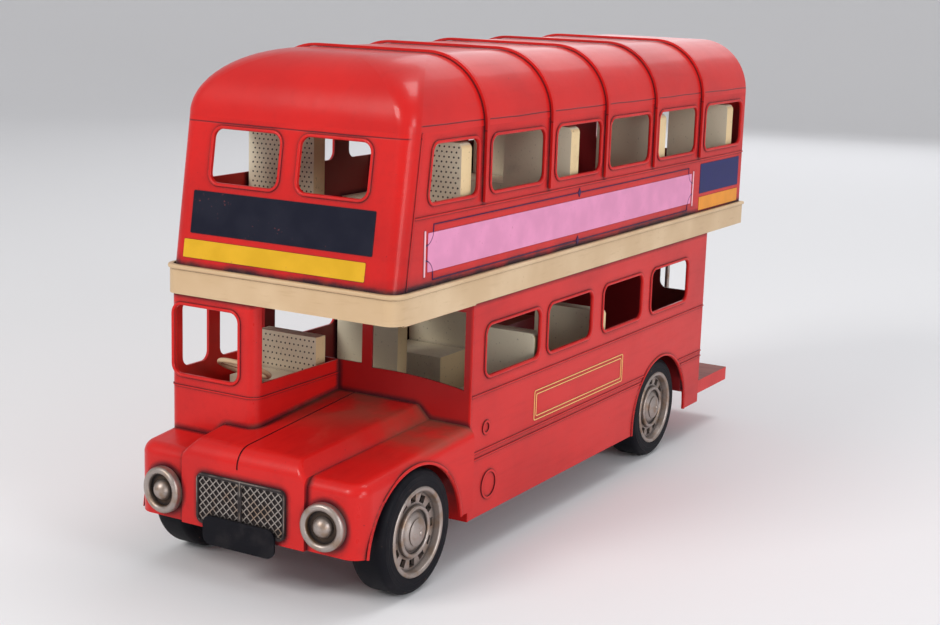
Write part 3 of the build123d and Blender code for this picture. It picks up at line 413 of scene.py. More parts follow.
@dataclass(frozen=True)
class CreamEnamel:
    """Cream enamel with brown brush marks along the band, worn edges, and dark wash and painted shade in
    seams.
    """

    colour: Colour = (0.60, 0.42, 0.245, 1.0)
    pale: Colour = (0.70, 0.52, 0.33, 1.0)
    mark: Colour = (0.34, 0.18, 0.085, 1.0)
    wash_and_shade: Colour = (0.075, 0.04, 0.022, 1.0)

    def material(self, name: str) -> Material:
        """Makes the enamel.

        Args:
            name: the material's name.

        Returns:
            The material.
        """
        g = ShaderGraph(name)
        clouds = g.noise(26.0, 3.0)
        along = g.noise(1.5, 4.0, (8.0, 8.0, 1.0))
        specks = g.noise(1.3, 3.0)
        crevice = g.crevice(1.8)
        base = g.blend(clouds.rise(0.3, 0.75), self.colour, self.pale)
        marks = along.rise(0.56, 0.78) * 0.2 + specks.rise(0.66, 0.76) * clouds.rise(0.45, 0.6) * 0.5
        base = g.blend(marks, base, self.mark)
        # Dark wash and painted shade in the seams and beside the beads
        seam_wash_and_shade = crevice.rise(0.12, 0.4) * 0.9
        base = g.blend(seam_wash_and_shade, base, self.wash_and_shade)
        ripple = along * 0.6 + g.noise(12.0, 2.0) * 0.4
        return g.surface(
            Base_Color=base,
            Roughness=0.38 + 0.15 * clouds + 0.3 * seam_wash_and_shade,
            Specular_IOR_Level=0.3,
            Normal=g.bump(ripple, 0.14),
        )


@dataclass(frozen=True)
class SeatEnamel:
    """Matt cream on the seats' perforated tin, warmer on sideways faces, chipped, with wash and painted shade
    in creases.
    """

    colour: Colour = (0.84, 0.77, 0.58, 1.0)
    warm: Colour = (0.76, 0.54, 0.26, 1.0)
    wash_and_shade: Colour = (0.10, 0.06, 0.04, 1.0)

    def material(self, name: str) -> Material:
        """Makes the enamel.

        Args:
            name: the material's name.

        Returns:
            The material.
        """
        g = ShaderGraph(name)
        normal_x = g.facing()[0]
        clouds = g.noise(14.0, 4.0)
        specks = g.noise(1.2, 3.0)
        crevice = g.crevice(3.0)
        # Faces that look sideways are painted a warmer, darker tone
        base = g.blend(abs(normal_x).rise(0.6, 0.9) * 0.8, self.colour, self.warm)
        base = g.blend(clouds.rise(0.6, 0.85) * 0.3 + specks.rise(0.64, 0.74) * 0.4, base, self.wash_and_shade)
        # Dark wash and painted shade in the creases
        base = g.blend(crevice.rise(0.25, 0.8) * 0.7, base, self.wash_and_shade)
        return g.surface(
            Base_Color=base,
            Roughness=0.55 + 0.2 * clouds,
            Normal=g.bump(specks * 0.5 + clouds * 0.5, 0.12),
        )


@dataclass(frozen=True)
class AgedSilver:
    """Dull silver over tin with bronze patches, and dark wash and painted shade in its steps."""

    colour: Colour = (0.42, 0.36, 0.33, 1.0)
    bronze: Colour = (0.29, 0.165, 0.08, 1.0)
    wash_and_shade: Colour = (0.018, 0.012, 0.012, 1.0)

    def coat(self, g: ShaderGraph, cover: Value, shade: Value) -> Material:
        """Ends a graph in this metal.

        Args:
            g: the graph to end.
            cover: where the dark wash hides the metal, from 0 to 1.
            shade: where the metal turns bronze, from 0 to 1.

        Returns:
            The material.
        """
        clouds = g.noise(5.0, 4.0)
        specks = g.noise(0.8, 3.0)
        crevice = g.crevice(2.0)
        base = g.blend(clouds.rise(0.45, 0.7) * 0.6 + shade, self.colour, self.bronze)
        # Dark wash and painted shade in the steps, dark specks, and the given cover
        hidden = crevice.rise(0.12, 0.42) * 0.92 + specks.rise(0.64, 0.75) * 0.4 + cover
        base = g.blend(hidden, base, self.wash_and_shade)
        return g.surface(
            Base_Color=base,
            Metallic=(1.0 - hidden).rise(0.0, 0.9) * 0.9,
            Roughness=0.33 + 0.22 * clouds + 0.25 * hidden,
            Normal=g.bump(clouds * 0.6 + specks * 0.4, 0.08),
        )

    def material(self, name: str) -> Material:
        """Makes the plain metal of that name."""
        return self.coat(ShaderGraph(name), 0.0, 0.0)


@dataclass(frozen=True)
class LampSilver(AgedSilver):
    """The same metal on a headlamp: bright rim and bulb, dark brassy dish."""

    lamp_x: float = 34.6
    lamp_z: float = 31.0
    bulb_radius: float = 3.9
    rim_inner: float = 5.8

    def material(self, name: str) -> Material:
        """Makes the lamp's metal, for both lamps.

        Args:
            name: the material's name.

        Returns:
            The material.
        """
        g = ShaderGraph(name)
        x, _, z = g.place()
        aside = abs(x) - self.lamp_x
        above = z - self.lamp_z
        radius = (aside * aside + above * above) ** 0.5
        bulb, rim = self.bulb_radius, self.rim_inner
        dish = radius.rise(bulb - 0.25, bulb + 0.15) * radius.rise(rim + 0.2, rim - 0.2)
        return self.coat(g, dish * 0.55, dish)


@dataclass(frozen=True)
class GrilleSilver(AgedSilver):
    """The same metal on the grille's mesh, over a black plate and in a black frame."""

    colour: Colour = (0.36, 0.32, 0.29, 1.0)
    mesh_top_y: float = NOSE_Y - 0.8
    field_half: float = 17.8
    field_top_z: float = 39.2
    field_foot_z: float = 23.7
    bar_half: float = 0.85
    rim_half: float = 18.6
    rim_top_z: float = 40.1

    def material(self, name: str) -> Material:
        """Makes the grille's metal.

        Args:
            name: the material's name.

        Returns:
            The material.
        """
        g = ShaderGraph(name)
        x, y, z = g.place()
        deep = y.rise(self.mesh_top_y + 0.02, self.mesh_top_y + 0.2)
        sides = abs(x).rise(self.field_half, self.field_half + 0.2)
        top = z.rise(self.field_top_z, self.field_top_z + 0.3)
        foot = z.rise(self.field_foot_z, self.field_foot_z - 0.3)
        bar = abs(x).rise(self.bar_half, self.bar_half - 0.15)
        frame = sides + top + foot + bar
        # Its outer rim and the crest of the bar are rubbed bright in places
        rim = abs(x).rise(self.rim_half, self.rim_half + 0.2) + z.rise(self.rim_top_z, self.rim_top_z + 0.2)
        rubbed = (rim + x.near(0.0, 0.35)) * g.noise(9.0, 3.0).rise(0.45, 0.6)
        return self.coat(g, deep + frame.rise(0.0, 1.0) * (1.0 - 0.8 * rubbed), 0.0)


@dataclass(frozen=True)
class BlackEnamel:
    """Black enamel with rubbed, slightly brown patches."""

    colour: Colour = (0.006, 0.006, 0.009, 1.0)
    rubbed: Colour = (0.030, 0.026, 0.028, 1.0)

    def material(self, name: str) -> Material:
        """Makes the enamel.

        Args:
            name: the material's name.

        Returns:
            The material.
        """
        g = ShaderGraph(name)
        clouds = g.noise(8.0, 4.0)
        specks = g.noise(0.9, 3.0)
        base = g.blend(clouds.rise(0.5, 0.75) * 0.5 + specks.rise(0.64, 0.74) * 0.5, self.colour, self.rubbed)
        return g.surface(
            Base_Color=base,
            Roughness=0.3 + 0.3 * clouds,
            Specular_IOR_Level=0.10,
            Normal=g.bump(clouds, 0.06),
        )


@dataclass(frozen=True)
class PaintedTyre:
    """Black paint on the tyres, with a seam round the tread and a few brown chips."""

    colour: Colour = (0.006, 0.006, 0.009, 1.0)
    worn: Colour = (0.018, 0.016, 0.019, 1.0)
    chip: Colour = (0.20, 0.10, 0.05, 1.0)
    seam_radii: Point2 = (20.417, 18.542)
    seam_reach: float = 0.2917

    def material(self, name: str) -> Material:
        """Makes the paint, for all four tyres.

        Args:
            name: the material's name.

        Returns:
            The material.
        """
        g = ShaderGraph(name)
        _, y, z = g.place()
        clouds = g.noise(9.0, 4.0)
        above = z - TYRE_RADIUS
        middle = (FRONT_AXLE_Y + REAR_AXLE_Y) / 2
        ahead = abs(y - middle) - (middle - FRONT_AXLE_Y)
        radius = (ahead * ahead + above * above) ** 0.5
        outer, inner = self.seam_radii
        rings = radius.near(outer, self.seam_reach) + radius.near(inner, self.seam_reach)
        chips = g.noise(1.4, 2.0).rise(0.70, 0.73) * g.noise(7.0, 2.0).rise(0.54, 0.62)
        base = g.blend(clouds.rise(0.4, 0.75) * 0.6, self.colour, self.worn)
        base = g.blend(chips * 0.9, base, self.chip)
        return g.surface(
            Base_Color=base,
            Roughness=0.42 + 0.2 * clouds,
            Specular_IOR_Level=0.09,
            Normal=g.bump(rings * 0.5 + g.noise(1.6, 3.0) * 0.2, 0.22),
        )


@dataclass(frozen=True)
class TreadPlate(RedEnamel):
    """The rear platform: dusty dull red floor with bright red edges, dark wash and painted shade in its
    seams.
    """

    floor: Colour = (0.21, 0.040, 0.034, 1.0)
    board: Colour = (0.30, 0.085, 0.062, 1.0)

    def material(self, name: str) -> Material:
        """Makes the platform's finish.

        Args:
            name: the material's name.

        Returns:
            The material.
        """
        g = ShaderGraph(name)
        normal_z = g.facing()[2]
        clouds = g.noise(12.0, 4.0)
        grain = g.noise(1.6, 4.0, (14.0, 1.0, 1.0))
        top = normal_z.rise(0.5, 0.8)
        tread = g.blend(grain.rise(0.35, 0.7), self.floor, self.board)
        base = g.blend(clouds.rise(0.4, 0.75) * 0.5, self.colour, self.deep)
        base = g.blend(top, base, tread)
        # Dark wash and painted shade in the platform's seams
        base = g.blend(g.crevice(2.4).rise(0.2, 0.7) * 0.8, base, self.wash_and_shade)
        return g.surface(
            Base_Color=base,
            Roughness=0.3 + 0.25 * top + 0.12 * clouds,
            Specular_IOR_Level=0.3,
            Normal=g.bump(grain * 0.5 + clouds * 0.5, 0.14),
        )


class Ink(Enum):
    """Colours of the blank signs and lines, and of the painted shade in the seats' holes."""

    NAVY = (0.006, 0.007, 0.018, 1.0)
    BLUE = (0.020, 0.022, 0.110, 1.0)
    YELLOW = (0.66, 0.37, 0.016, 1.0)
    ORANGE = (0.76, 0.29, 0.035, 1.0)
    PINK = (0.69, 0.27, 0.45, 1.0)
    ROSE = (0.80, 0.50, 0.56, 1.0)
    CREAM = (0.80, 0.47, 0.18, 1.0)
    LINE = (0.060, 0.018, 0.075, 1.0)
    HOLE_SHADE = (0.035, 0.024, 0.020, 1.0)


@dataclass(frozen=True)
class SignPaint:
    """Flat sign paint, mottled and rubbed thin in places."""

    ink: Ink
    rubbed: Colour = (0.30, 0.07, 0.06, 1.0)
    wear: float = 0.5

    def material(self) -> Material:
        """Makes the sign paint, named after its ink.

        Returns:
            The material.
        """
        g = ShaderGraph("sign_" + self.ink.name.lower())
        clouds = g.noise(12.0, 4.0)
        specks = g.noise(1.0, 4.0)
        lighter = tuple(min(1.0, c * 1.12 + 0.004) for c in self.ink.value[:3]) + (1.0,)
        base = g.blend(clouds.rise(0.35, 0.7), self.ink.value, lighter)
        base = g.blend(specks.rise(0.66, 0.72) * clouds.rise(0.5, 0.62) * self.wear, base, self.rubbed)
        return g.surface(
            Base_Color=base,
            Roughness=0.36 + 0.18 * clouds,
            Specular_IOR_Level=0.15,
            Normal=g.bump(clouds * 0.5 + specks * 0.5, 0.05),
        )


# Mesh helpers


def mesh_object(name: str, shape: BMesh, paint: Material) -> Object:
    """Turns a finished shape into an object at the origin.

    Args:
        name: the object's name.
        shape: its mesh in metres, which is freed.
        paint: its material.

    Returns:
        The new object, linked to the scene.
    """
    mesh = bpy.data.meshes.new(name)
    shape.to_mesh(mesh)
    shape.free()
    mesh.materials.append(paint)
    made = bpy.data.objects.new(name, mesh)
    bpy.context.scene.collection.objects.link(made)
    return made


def sheet_plane(origin: Sequence[float], across: Sequence[float], up: Sequence[float]) -> Matrix:
    """Matrix from a sheet's own plane to the part's frame.

    Args:
        origin: the plane's zero point in millimetres.
        across: direction of its first axis.
        up: direction of its second axis.

    Returns:
        A matrix whose third axis points out of the sheet, and which takes millimetres to metres.
    """
    u, v = Vector(across).normalized(), Vector(up).normalized()
    turned = Matrix((u, v, u.cross(v))).transposed().to_4x4()
    return Matrix.Scale(MM, 4) @ Matrix.Translation(Vector(origin)) @ turned


def arc(centre: Point2, radius: float, start: float, end: float, steps: int = 8) -> list[Point2]:
    """Points along an arc, from start to end in degrees."""
    angles = [math.radians(start + (end - start) * i / steps) for i in range(steps + 1)]
    return [(centre[0] + radius * math.cos(a), centre[1] + radius * math.sin(a)) for a in angles]


def rounded_outline(low: Point2, high: Point2, radius: float, steps: int) -> list[Point2]:
    """Outline of a rectangle with round corners, counter-clockwise.

    Args:
        low: its lower left corner.
        high: its upper right corner.
        radius: of the corners.
        steps: pieces in each corner's arc.

    Returns:
        The outline's points.
    """
    corners = (
        ((high[0] - radius, low[1] + radius), -90.0),
        ((high[0] - radius, high[1] - radius), 0.0),
        ((low[0] + radius, high[1] - radius), 90.0),
        ((low[0] + radius, low[1] + radius), 180.0),
    )
    return [point for centre, start in corners for point in arc(centre, radius, start, start + 90.0, steps)]


def sign_plate(
    name: str, plane: Matrix, outline: Sequence[Point2], thickness: float, paint: Material
) -> Object:
    """Thin closed plate that stands on a sheet.

    Args:
        name: the object's name.
        plane: the sheet's plane.
        outline: the plate's outline, counter-clockwise in that plane.
        thickness: of the plate in millimetres.
        paint: its material.

    Returns:
        The new object.
    """
    shape = bmesh.new()
    foot = [shape.verts.new((u, v, 0.0)) for u, v in outline]
    top = [shape.verts.new((u, v, thickness)) for u, v in outline]
    shape.faces.new(top)
    shape.faces.new(list(reversed(foot)))
    for i in range(len(outline)):
        j = (i + 1) % len(outline)
        shape.faces.new((foot[i], foot[j], top[j], top[i]))
    rim = [e for e in shape.edges if all(v.co.z > thickness / 2 for v in e.verts)]
    bmesh.ops.bevel(shape, geom=rim, offset=thickness * RIM_SHARE, segments=2, affect="EDGES", profile=0.5)
    shape.transform(plane)
    bmesh.ops.recalc_face_normals(shape, faces=shape.faces)
    return mesh_object(name, shape, paint)


class PatternTree:
    """A Geometry Nodes tree with named inputs for its sizes."""

    def __init__(self, name: str, sizes: dict[str, str]) -> None:
        """Starts the tree.

        Args:
            name: the tree's name.
            sizes: socket type by input name.
        """
        self.tree = bpy.data.node_groups.new(name, "GeometryNodeTree")
        self.tree.interface.new_socket("Geometry", in_out="INPUT", socket_type="NodeSocketGeometry")
        self.tree.interface.new_socket("Geometry", in_out="OUTPUT", socket_type="NodeSocketGeometry")
        self.keys = {
            label: self.tree.interface.new_socket(label, in_out="INPUT", socket_type=kind).identifier
            for label, kind in sizes.items()
        }
        self.entry = self.tree.nodes.new("NodeGroupInput")

    def node(self, kind: str, settings: Settings = None, inputs: Inputs = None) -> Node:
        """Adds a node."""
        return add_node(self.tree, kind, settings, inputs)

    def close(self, geometry: NodeSocket, paint: NodeSocket) -> None:
        """Ends the tree in real geometry with its material.

        Args:
            geometry: the output that holds the shape.
            paint: the output that holds the material.
        """
        real = self.node("GeometryNodeRealizeInstances", None, {0: geometry})
        painted = self.node("GeometryNodeSetMaterial", None, {"Geometry": real.outputs[0], "Material": paint})
        self.node("NodeGroupOutput", None, {0: painted.outputs[0]})

    def bake(self, seed_object: Object, values: dict[str, object]) -> None:
        """Runs the tree on an object and keeps the result as its plain mesh.

        Args:
            seed_object: the object whose mesh the tree starts from.
            values: the inputs' values by name.
        """
        modifier = seed_object.modifiers.new(self.tree.name, "NODES")
        modifier.node_group = self.tree
        for label, value in values.items():
            modifier[self.keys[label]] = value
        bpy.context.view_layer.update()
        graph = bpy.context.evaluated_depsgraph_get()
        made = bpy.data.meshes.new_from_object(seed_object.evaluated_get(graph), depsgraph=graph)
        seed_object.modifiers.remove(modifier)
        made.name = seed_object.name
        seed_object.data = made


def line_tree() -> PatternTree:
    """Painted line: a slim round wire along every edge path.

    Returns:
        The tree, with the inputs Radius and Material.
    """
    tree = PatternTree("painted_line", {"Radius": "NodeSocketFloat", "Material": "NodeSocketMaterial"})
    path = tree.node("GeometryNodeMeshToCurve", None, {0: tree.entry.outputs["Geometry"]})
    radius = tree.entry.outputs["Radius"]
    ring = tree.node("GeometryNodeCurvePrimitiveCircle", None, {"Resolution": 6, "Radius": radius})
    drawn = {0: path.outputs[0], 1: ring.outputs["Curve"], "Fill Caps": True}
    wire = tree.node("GeometryNodeCurveToMesh", None, drawn)
    tree.close(wire.outputs[0], tree.entry.outputs["Material"])
    return tree


def perforation_tree() -> PatternTree:
    """Staggered rows of dark round plugs, painted shade for the holes, on every point of the seats' panels.

    Returns:
        The tree, with an input for each size.
    """
    sizes = {name: "NodeSocketFloat" for name in ("Width", "Height", "Stagger", "Radius", "Depth")}
    sizes |= {"Columns": "NodeSocketInt", "Rows": "NodeSocketInt", "Material": "NodeSocketMaterial"}
    tree = PatternTree("perforation", sizes)
    given = tree.entry.outputs
    spread = {"Size X": given["Width"], "Size Y": given["Height"]}
    counts = {"Vertices X": given["Columns"], "Vertices Y": given["Rows"]}
    grid = tree.node("GeometryNodeMeshGrid", None, spread | counts)
    index = tree.node("GeometryNodeInputIndex")
    parity = tree.node("ShaderNodeMath", {"operation": "MODULO"}, {0: index.outputs[0], 1: 2.0})
    stagger = {0: parity.outputs[0], 1: given["Stagger"]}
    shift = tree.node("ShaderNodeMath", {"operation": "MULTIPLY"}, stagger)
    offset = tree.node("ShaderNodeCombineXYZ", None, {"X": shift.outputs[0]})
    moved = {"Geometry": grid.outputs["Mesh"], "Offset": offset.outputs[0]}
    rows = tree.node("GeometryNodeSetPosition", None, moved)
    plug = {"Vertices": 8, "Radius": given["Radius"], "Depth": given["Depth"]}
    hole = tree.node("GeometryNodeMeshCylinder", {"fill_type": "NGON"}, plug)
    copies = {"Points": rows.outputs[0], "Instance": hole.outputs[0]}
    holes = tree.node("GeometryNodeInstanceOnPoints", None, copies)
    panel = tree.node("GeometryNodeRealizeInstances", None, {0: holes.outputs[0]})
    lean = tree.node("GeometryNodeInputNamedAttribute", {"data_type": "FLOAT_VECTOR"}, {"Name": "lean"})
    stand = {"Points": given["Geometry"], "Instance": panel.outputs[0], "Rotation": lean.outputs[0]}
    panels = tree.node("GeometryNodeInstanceOnPoints", None, stand)
    tree.close(panels.outputs[0], given["Material"])
    return tree


# Sub-assemblies


@dataclass
class Bodywork:
    """The red sheets, the roof and its hoops, the floors and the stairs."""

    enamel: RedEnamel = RedEnamel()
    shaded: RedEnamel = RedEnamel(indoors=True)
    hoops: RedEnamel = RedEnamel(wash_and_shade_reach=0.6)
    roof: RoofEnamel = RoofEnamel(wash_and_shade_reach=1.3)
    platform: TreadPlate = TreadPlate()
    lower: tuple[str, ...] = ("lower_side_left", "lower_side_right", "cab_shell", "front_bulkhead")
    nose: tuple[str, ...] = ("bonnet_wings", "upper_front")
    upper: tuple[str, ...] = ("upper_side_left", "upper_side_right", "upper_rear")
    trim: tuple[str, ...] = ("rear_lower_panel", "window_beads", "side_mouldings")
    floors: tuple[str, ...] = ("upper_deck_floor", "floor_pan", "front_pan")
    fittings: tuple[str, ...] = ("wheel_boxes", "saloon_partition", "staircase")

    def dress(self, nodes: Nodes) -> None:
        """Gives every red piece its enamel.

        Args:
            nodes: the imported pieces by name.
        """
        outer = (*self.lower, *self.nose, *self.upper, *self.trim)
        inner = (*self.floors, *self.fittings)
        dress_nodes(nodes, outer, self.enamel.material("red_enamel"))
        # The floors and fittings take the enamel's painted indoor shade all over
        dress_nodes(nodes, inner, self.shaded.material("red_enamel_indoor_shade"))
        dress_nodes(nodes, ("roof",), self.roof.material("red_enamel_roof"))
        dress_nodes(nodes, ("roof_ribs",), self.hoops.material("red_enamel_hoops"))
        dress_nodes(nodes, ("rear_platform",), self.platform.material("platform_floor"))


@dataclass
class CreamPieces:
    """The waist band and the steering wheel."""

    enamel: CreamEnamel = CreamEnamel()

    def dress(self, nodes: Nodes) -> None:
        """Gives both their cream enamel."""
        dress_nodes(nodes, ("waist_band", "steering_wheel"), self.enamel.material("cream_enamel"))


@dataclass
class Nose:
    """Grille, headlamps and the blank number plate."""

    grille: GrilleSilver = GrilleSilver()
    lamps: LampSilver = LampSilver()
    plate: BlackEnamel = BlackEnamel()

    def dress(self, nodes: Nodes) -> None:
        """Gives the nose's pieces their finishes.

        Args:
            nodes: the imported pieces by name.
        """
        dress_nodes(nodes, ("grille",), self.grille.material("grille_silver"))
        dress_nodes(nodes, ("headlamp_left", "headlamp_right"), self.lamps.material("lamp_silver"))
        dress_nodes(nodes, ("number_plate",), self.plate.material("plate_black"))


@dataclass
class RunningGear:
    """Tyres, discs, axles and hangers, and the grab pole."""

    tyre: PaintedTyre = PaintedTyre()
    silver: AgedSilver = AgedSilver()
    black: BlackEnamel = BlackEnamel()
    corners: tuple[str, ...] = ("front_left", "front_right", "rear_left", "rear_right")

    def dress(self, nodes: Nodes) -> None:
        """Gives the running gear its finishes.

        Args:
            nodes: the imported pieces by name.
        """
        dress_nodes(nodes, [f"{c}_tyre" for c in self.corners], self.tyre.material("tyre_black"))
        discs = [f"{c}_disc" for c in self.corners]
        dress_nodes(nodes, [*discs, "grab_pole"], self.silver.material("wheel_silver"))
        dress_nodes(nodes, ("front_axle", "rear_axle", "front_hangers"), self.black.material("axle_black"))


@dataclass
class Seats:
    """Seats of painted tin, perforated at the front of the upper deck and in the cab."""

    enamel: SeatEnamel = SeatEnamel()
    inner_x: float = 16.5
    outer_x: float = 46.5
    cushion_depth: float = 22.0
    front_back_y: float = BULKHEAD_Y - 8.0
    upper_cushion_z: float = 122.0
    upper_back_z: float = 155.5
    driver_x: float = -27.75
    driver_width: float = 26.5
    driver_cushion_z: float = 63.0
    driver_back_z: float = 77.6
    pitch: float = 1.9
    hole_radius: float = 0.36
    margin: float = 1.6
    plug_rise: float = 0.04

    def dress(self, nodes: Nodes) -> None:
        """Gives the seats their enamel."""
        saloons = [f"{deck}_seats_{side}" for deck in ("lower", "upper") for side in ("left", "right")]
        dress_nodes(nodes, ["driver_seat", *saloons], self.enamel.material("seat_enamel"))

    def panel(
        self,
        name: str,
        tree: PatternTree,
        width: float,
        height: float,
        places: Sequence[tuple[Vector, Vector]],
        paint: Material,
    ) -> Object:
        """Makes the holes of all panels of one size.

        Args:
            name: the object's name.
            tree: the perforation tree.
            width: of a panel in millimetres.
            height: of a panel in millimetres.
            places: centre and turn of each panel.
            paint: the holes' material.

        Returns:
            One object with all the holes.
        """
        mesh = bpy.data.meshes.new(name)
        mesh.from_pydata([tuple(centre * MM) for centre, _ in places], [], [])
        lean = mesh.attributes.new("lean", "FLOAT_VECTOR", "POINT")
        for item, (_, turn) in zip(lean.data, places):
            item.vector = turn
        made = bpy.data.objects.new(name, mesh)
        bpy.context.scene.collection.objects.link(made)
        columns = int((width - 2 * self.margin) / self.pitch)
        rows = int((height - 2 * self.margin) / (self.pitch * ROW_SHARE))
        rows += rows % 2
        values = {
            "Width": (width - 2 * self.margin - self.pitch / 2) * MM,
            "Height": (height - 2 * self.margin) * MM,
            "Columns": columns,
            "Rows": rows,
            "Stagger": self.pitch / 2 * MM,
            "Radius": self.hole_radius * MM,
            "Depth": 2 * self.plug_rise * MM,
            "Material": paint,
        }
        tree.bake(made, values)
        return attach(made, "body")

    def perforate(self, tree: PatternTree, paint: Material) -> list[Object]:
        """Makes the holes of the foremost seats' backs and cushions.

        Args:
            tree: the perforation tree.
            paint: the holes' material.

        Returns:
            The made objects.
        """
        upright = Vector((math.pi / 2, 0.0, 0.0))
        flat = Vector((0.0, 0.0, 0.0))
        width = self.outer_x - self.inner_x
        back_height = self.upper_back_z - self.upper_cushion_z
        driver_height = self.driver_back_z - self.driver_cushion_z
        back_y = self.front_back_y
        cushion_y = back_y - self.cushion_depth / 2
        backs, cushions = [], []
        for side in (1, -1):
            x = side * (self.outer_x + self.inner_x) / 2
            backs.append((Vector((x, back_y, self.upper_cushion_z + back_height / 2)), upright))
            cushions.append((Vector((x, cushion_y, self.upper_cushion_z)), flat))
        driver = [(Vector((self.driver_x, back_y, self.driver_cushion_z + driver_height / 2)), upright)]
        return [
            self.panel("upper_back_holes", tree, width, back_height, backs, paint),
            self.panel("cushion_holes", tree, width, self.cushion_depth, cushions, paint),
            self.panel("driver_back_holes", tree, self.driver_width, driver_height, driver, paint),
        ]


@dataclass
class Signs:
    """Blank signs and painted lines on the front and the left side."""

    plate_thickness: float = 0.16
    plate_corner: float = 0.4
    line_radius: float = 0.26
    line_corner: float = 0.8
    front_navy: Box2 = ((-40.0, 120.0), (37.7, 135.0))
    front_yellow: Box2 = ((-42.3, 111.2), (35.5, 117.7))
    banner: Box2 = ((-32.0, 113.5), (194.0, 127.0))
    rear_blue: Box2 = ((204.0, 117.0), (251.0, 130.6))
    rear_orange: Box2 = ((204.0, 109.2), (251.0, 115.3))
    frame_ends: Point2 = (-28.5, 190.5)
    frame_heights: Point2 = (110.6, 129.7)
    curl_radius: float = 5.5
    curl_drop: float = 1.6
    mast_width: float = 0.8
    mast_heights: Point2 = (112.0, 128.0)
    side_plate: Box2 = ((50.0, 43.2), (129.6, 55.0))
    side_plate_gap: float = 1.5
    diamond_across: float = 1.3
    diamond_up: float = 1.82

    def side(self) -> Matrix:
        """Plane of the left side sheets, with Y measured back from the bulkhead."""
        return sheet_plane((HALF_WIDTH, BULKHEAD_Y, 0.0), (0, 1, 0), (0, 0, 1))

    def front(self) -> Matrix:
        """Plane of the raked upper front, with its second axis up the slope."""
        return sheet_plane((0.0, FRONT_Y, NOSE_BASE_Z), (1, 0, 0), (0, NOSE_RAKE, NOSE_RISE))

    def sloped(self, box: Box2) -> Box2:
        """Sign's corners with their heights measured along the raked front.

        Args:
            box: its lower left and upper right corner, with plain heights.

        Returns:
            The same corners in the front's plane.
        """
        slope = math.hypot(NOSE_RISE, NOSE_RAKE) / NOSE_RISE
        low, high = ((u, (z - NOSE_BASE_Z) * slope) for u, z in box)
        return low, high

    def plates(self) -> list[Object]:
        """Makes the flat coloured signs.

        Returns:
            The made objects.
        """
        made = []
        signs = (
            ("front_sign", self.front(), self.sloped(self.front_navy), Ink.NAVY),
            ("front_strip", self.front(), self.sloped(self.front_yellow), Ink.YELLOW),
            ("side_banner", self.side(), self.banner, Ink.PINK),
            ("rear_side_sign", self.side(), self.rear_blue, Ink.BLUE),
            ("rear_side_strip", self.side(), self.rear_orange, Ink.ORANGE),
        )
        for name, plane, (low, high), ink in signs:
            outline = rounded_outline(low, high, self.plate_corner, 2)
            paint = SignPaint(ink).material()
            made.append(sign_plate(name, plane, outline, self.plate_thickness, paint))
        rose = SignPaint(Ink.ROSE).material()
        front_end, rear_end = self.frame_ends
        masts = (("front_mast", front_end - self.curl_radius), ("rear_mast", rear_end + self.curl_radius))
        for name, place in masts:
            half = self.mast_width / 2
            low, high = ((place + u, v) for u, v in zip((-half, half), self.mast_heights))
            outline = rounded_outline(low, high, self.mast_width * RIM_SHARE, 3)
            made.append(sign_plate(name, self.side(), outline, 2 * self.plate_thickness, rose))
        line = SignPaint(Ink.LINE, wear=0.2).material()
        middle = (self.banner[0][0] + self.banner[1][0]) / 2
        for name, z in (("lower_diamond", self.frame_heights[0]), ("upper_diamond", self.frame_heights[1])):
            outline = [
                (middle + self.diamond_across, z),
                (middle, z + self.diamond_up),
                (middle - self.diamond_across, z),
                (middle, z - self.diamond_up),
            ]
            made.append(sign_plate(name, self.side(), outline, 1.5 * self.plate_thickness, line))
        for piece in made:
            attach(piece, "body")
        return made

    def frame_paths(self) -> list[list[Point2]]:
        """Paths of the line round the banner: two long lines whose ends curl in to the masts.

        Returns:
            The two paths' points in the side's plane.
        """
        start, end = self.frame_ends
        low, high = self.frame_heights
        r, drop = self.curl_radius, self.curl_drop
        upper_left = arc((start - r, high - drop), r, -90.0, 0.0)
        upper_right = arc((end + r, high - drop), r, 180.0, 270.0)
        lower_left = arc((start - r, low + drop), r, 90.0, 0.0)
        lower_right = arc((end + r, low + drop), r, 180.0, 90.0)
        return [
            [*upper_left, (start, high), (end, high), *upper_right],
            [*lower_left, (start, low), (end, low), *lower_right],
        ]

    def lines(self, name: str, paths: Sequence[Sequence[Point2]], closed: bool, ink: Ink) -> Object:
        """Makes painted lines on the left side.

        Args:
            name: the object's name.
            paths: the lines' points in the side's plane.
            closed: True where each line returns to its start.
            ink: their colour.

        Returns:
            One object with all the lines.
        """
        shape = bmesh.new()
        for path in paths:
            points = [shape.verts.new((u, v, 0.0)) for u, v in path]
            for first, second in zip(points, points[1:]):
                shape.edges.new((first, second))
            if closed:
                shape.edges.new((points[-1], points[0]))
        shape.transform(self.side())
        paint = SignPaint(ink, wear=0.25).material()
        made = mesh_object(name, shape, paint)
        line_tree().bake(made, {"Radius": self.line_radius * MM, "Material": paint})
        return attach(made, "body")

    def build(self) -> list[Object]:
        """Makes all signs and lines.

        Returns:
            The made objects.
        """
        made = self.plates()
        made.append(self.lines("banner_frame", self.frame_paths(), False, Ink.LINE))
        low, high = self.side_plate
        gap = self.side_plate_gap
        boxes = (self.side_plate, ((low[0] + gap, low[1] + gap), (high[0] - gap, high[1] - gap)))
        outlines = [rounded_outline(*box, self.line_corner, 3) for box in boxes]
        made.append(self.lines("side_plate_lines", outlines, True, Ink.CREAM))
        return made


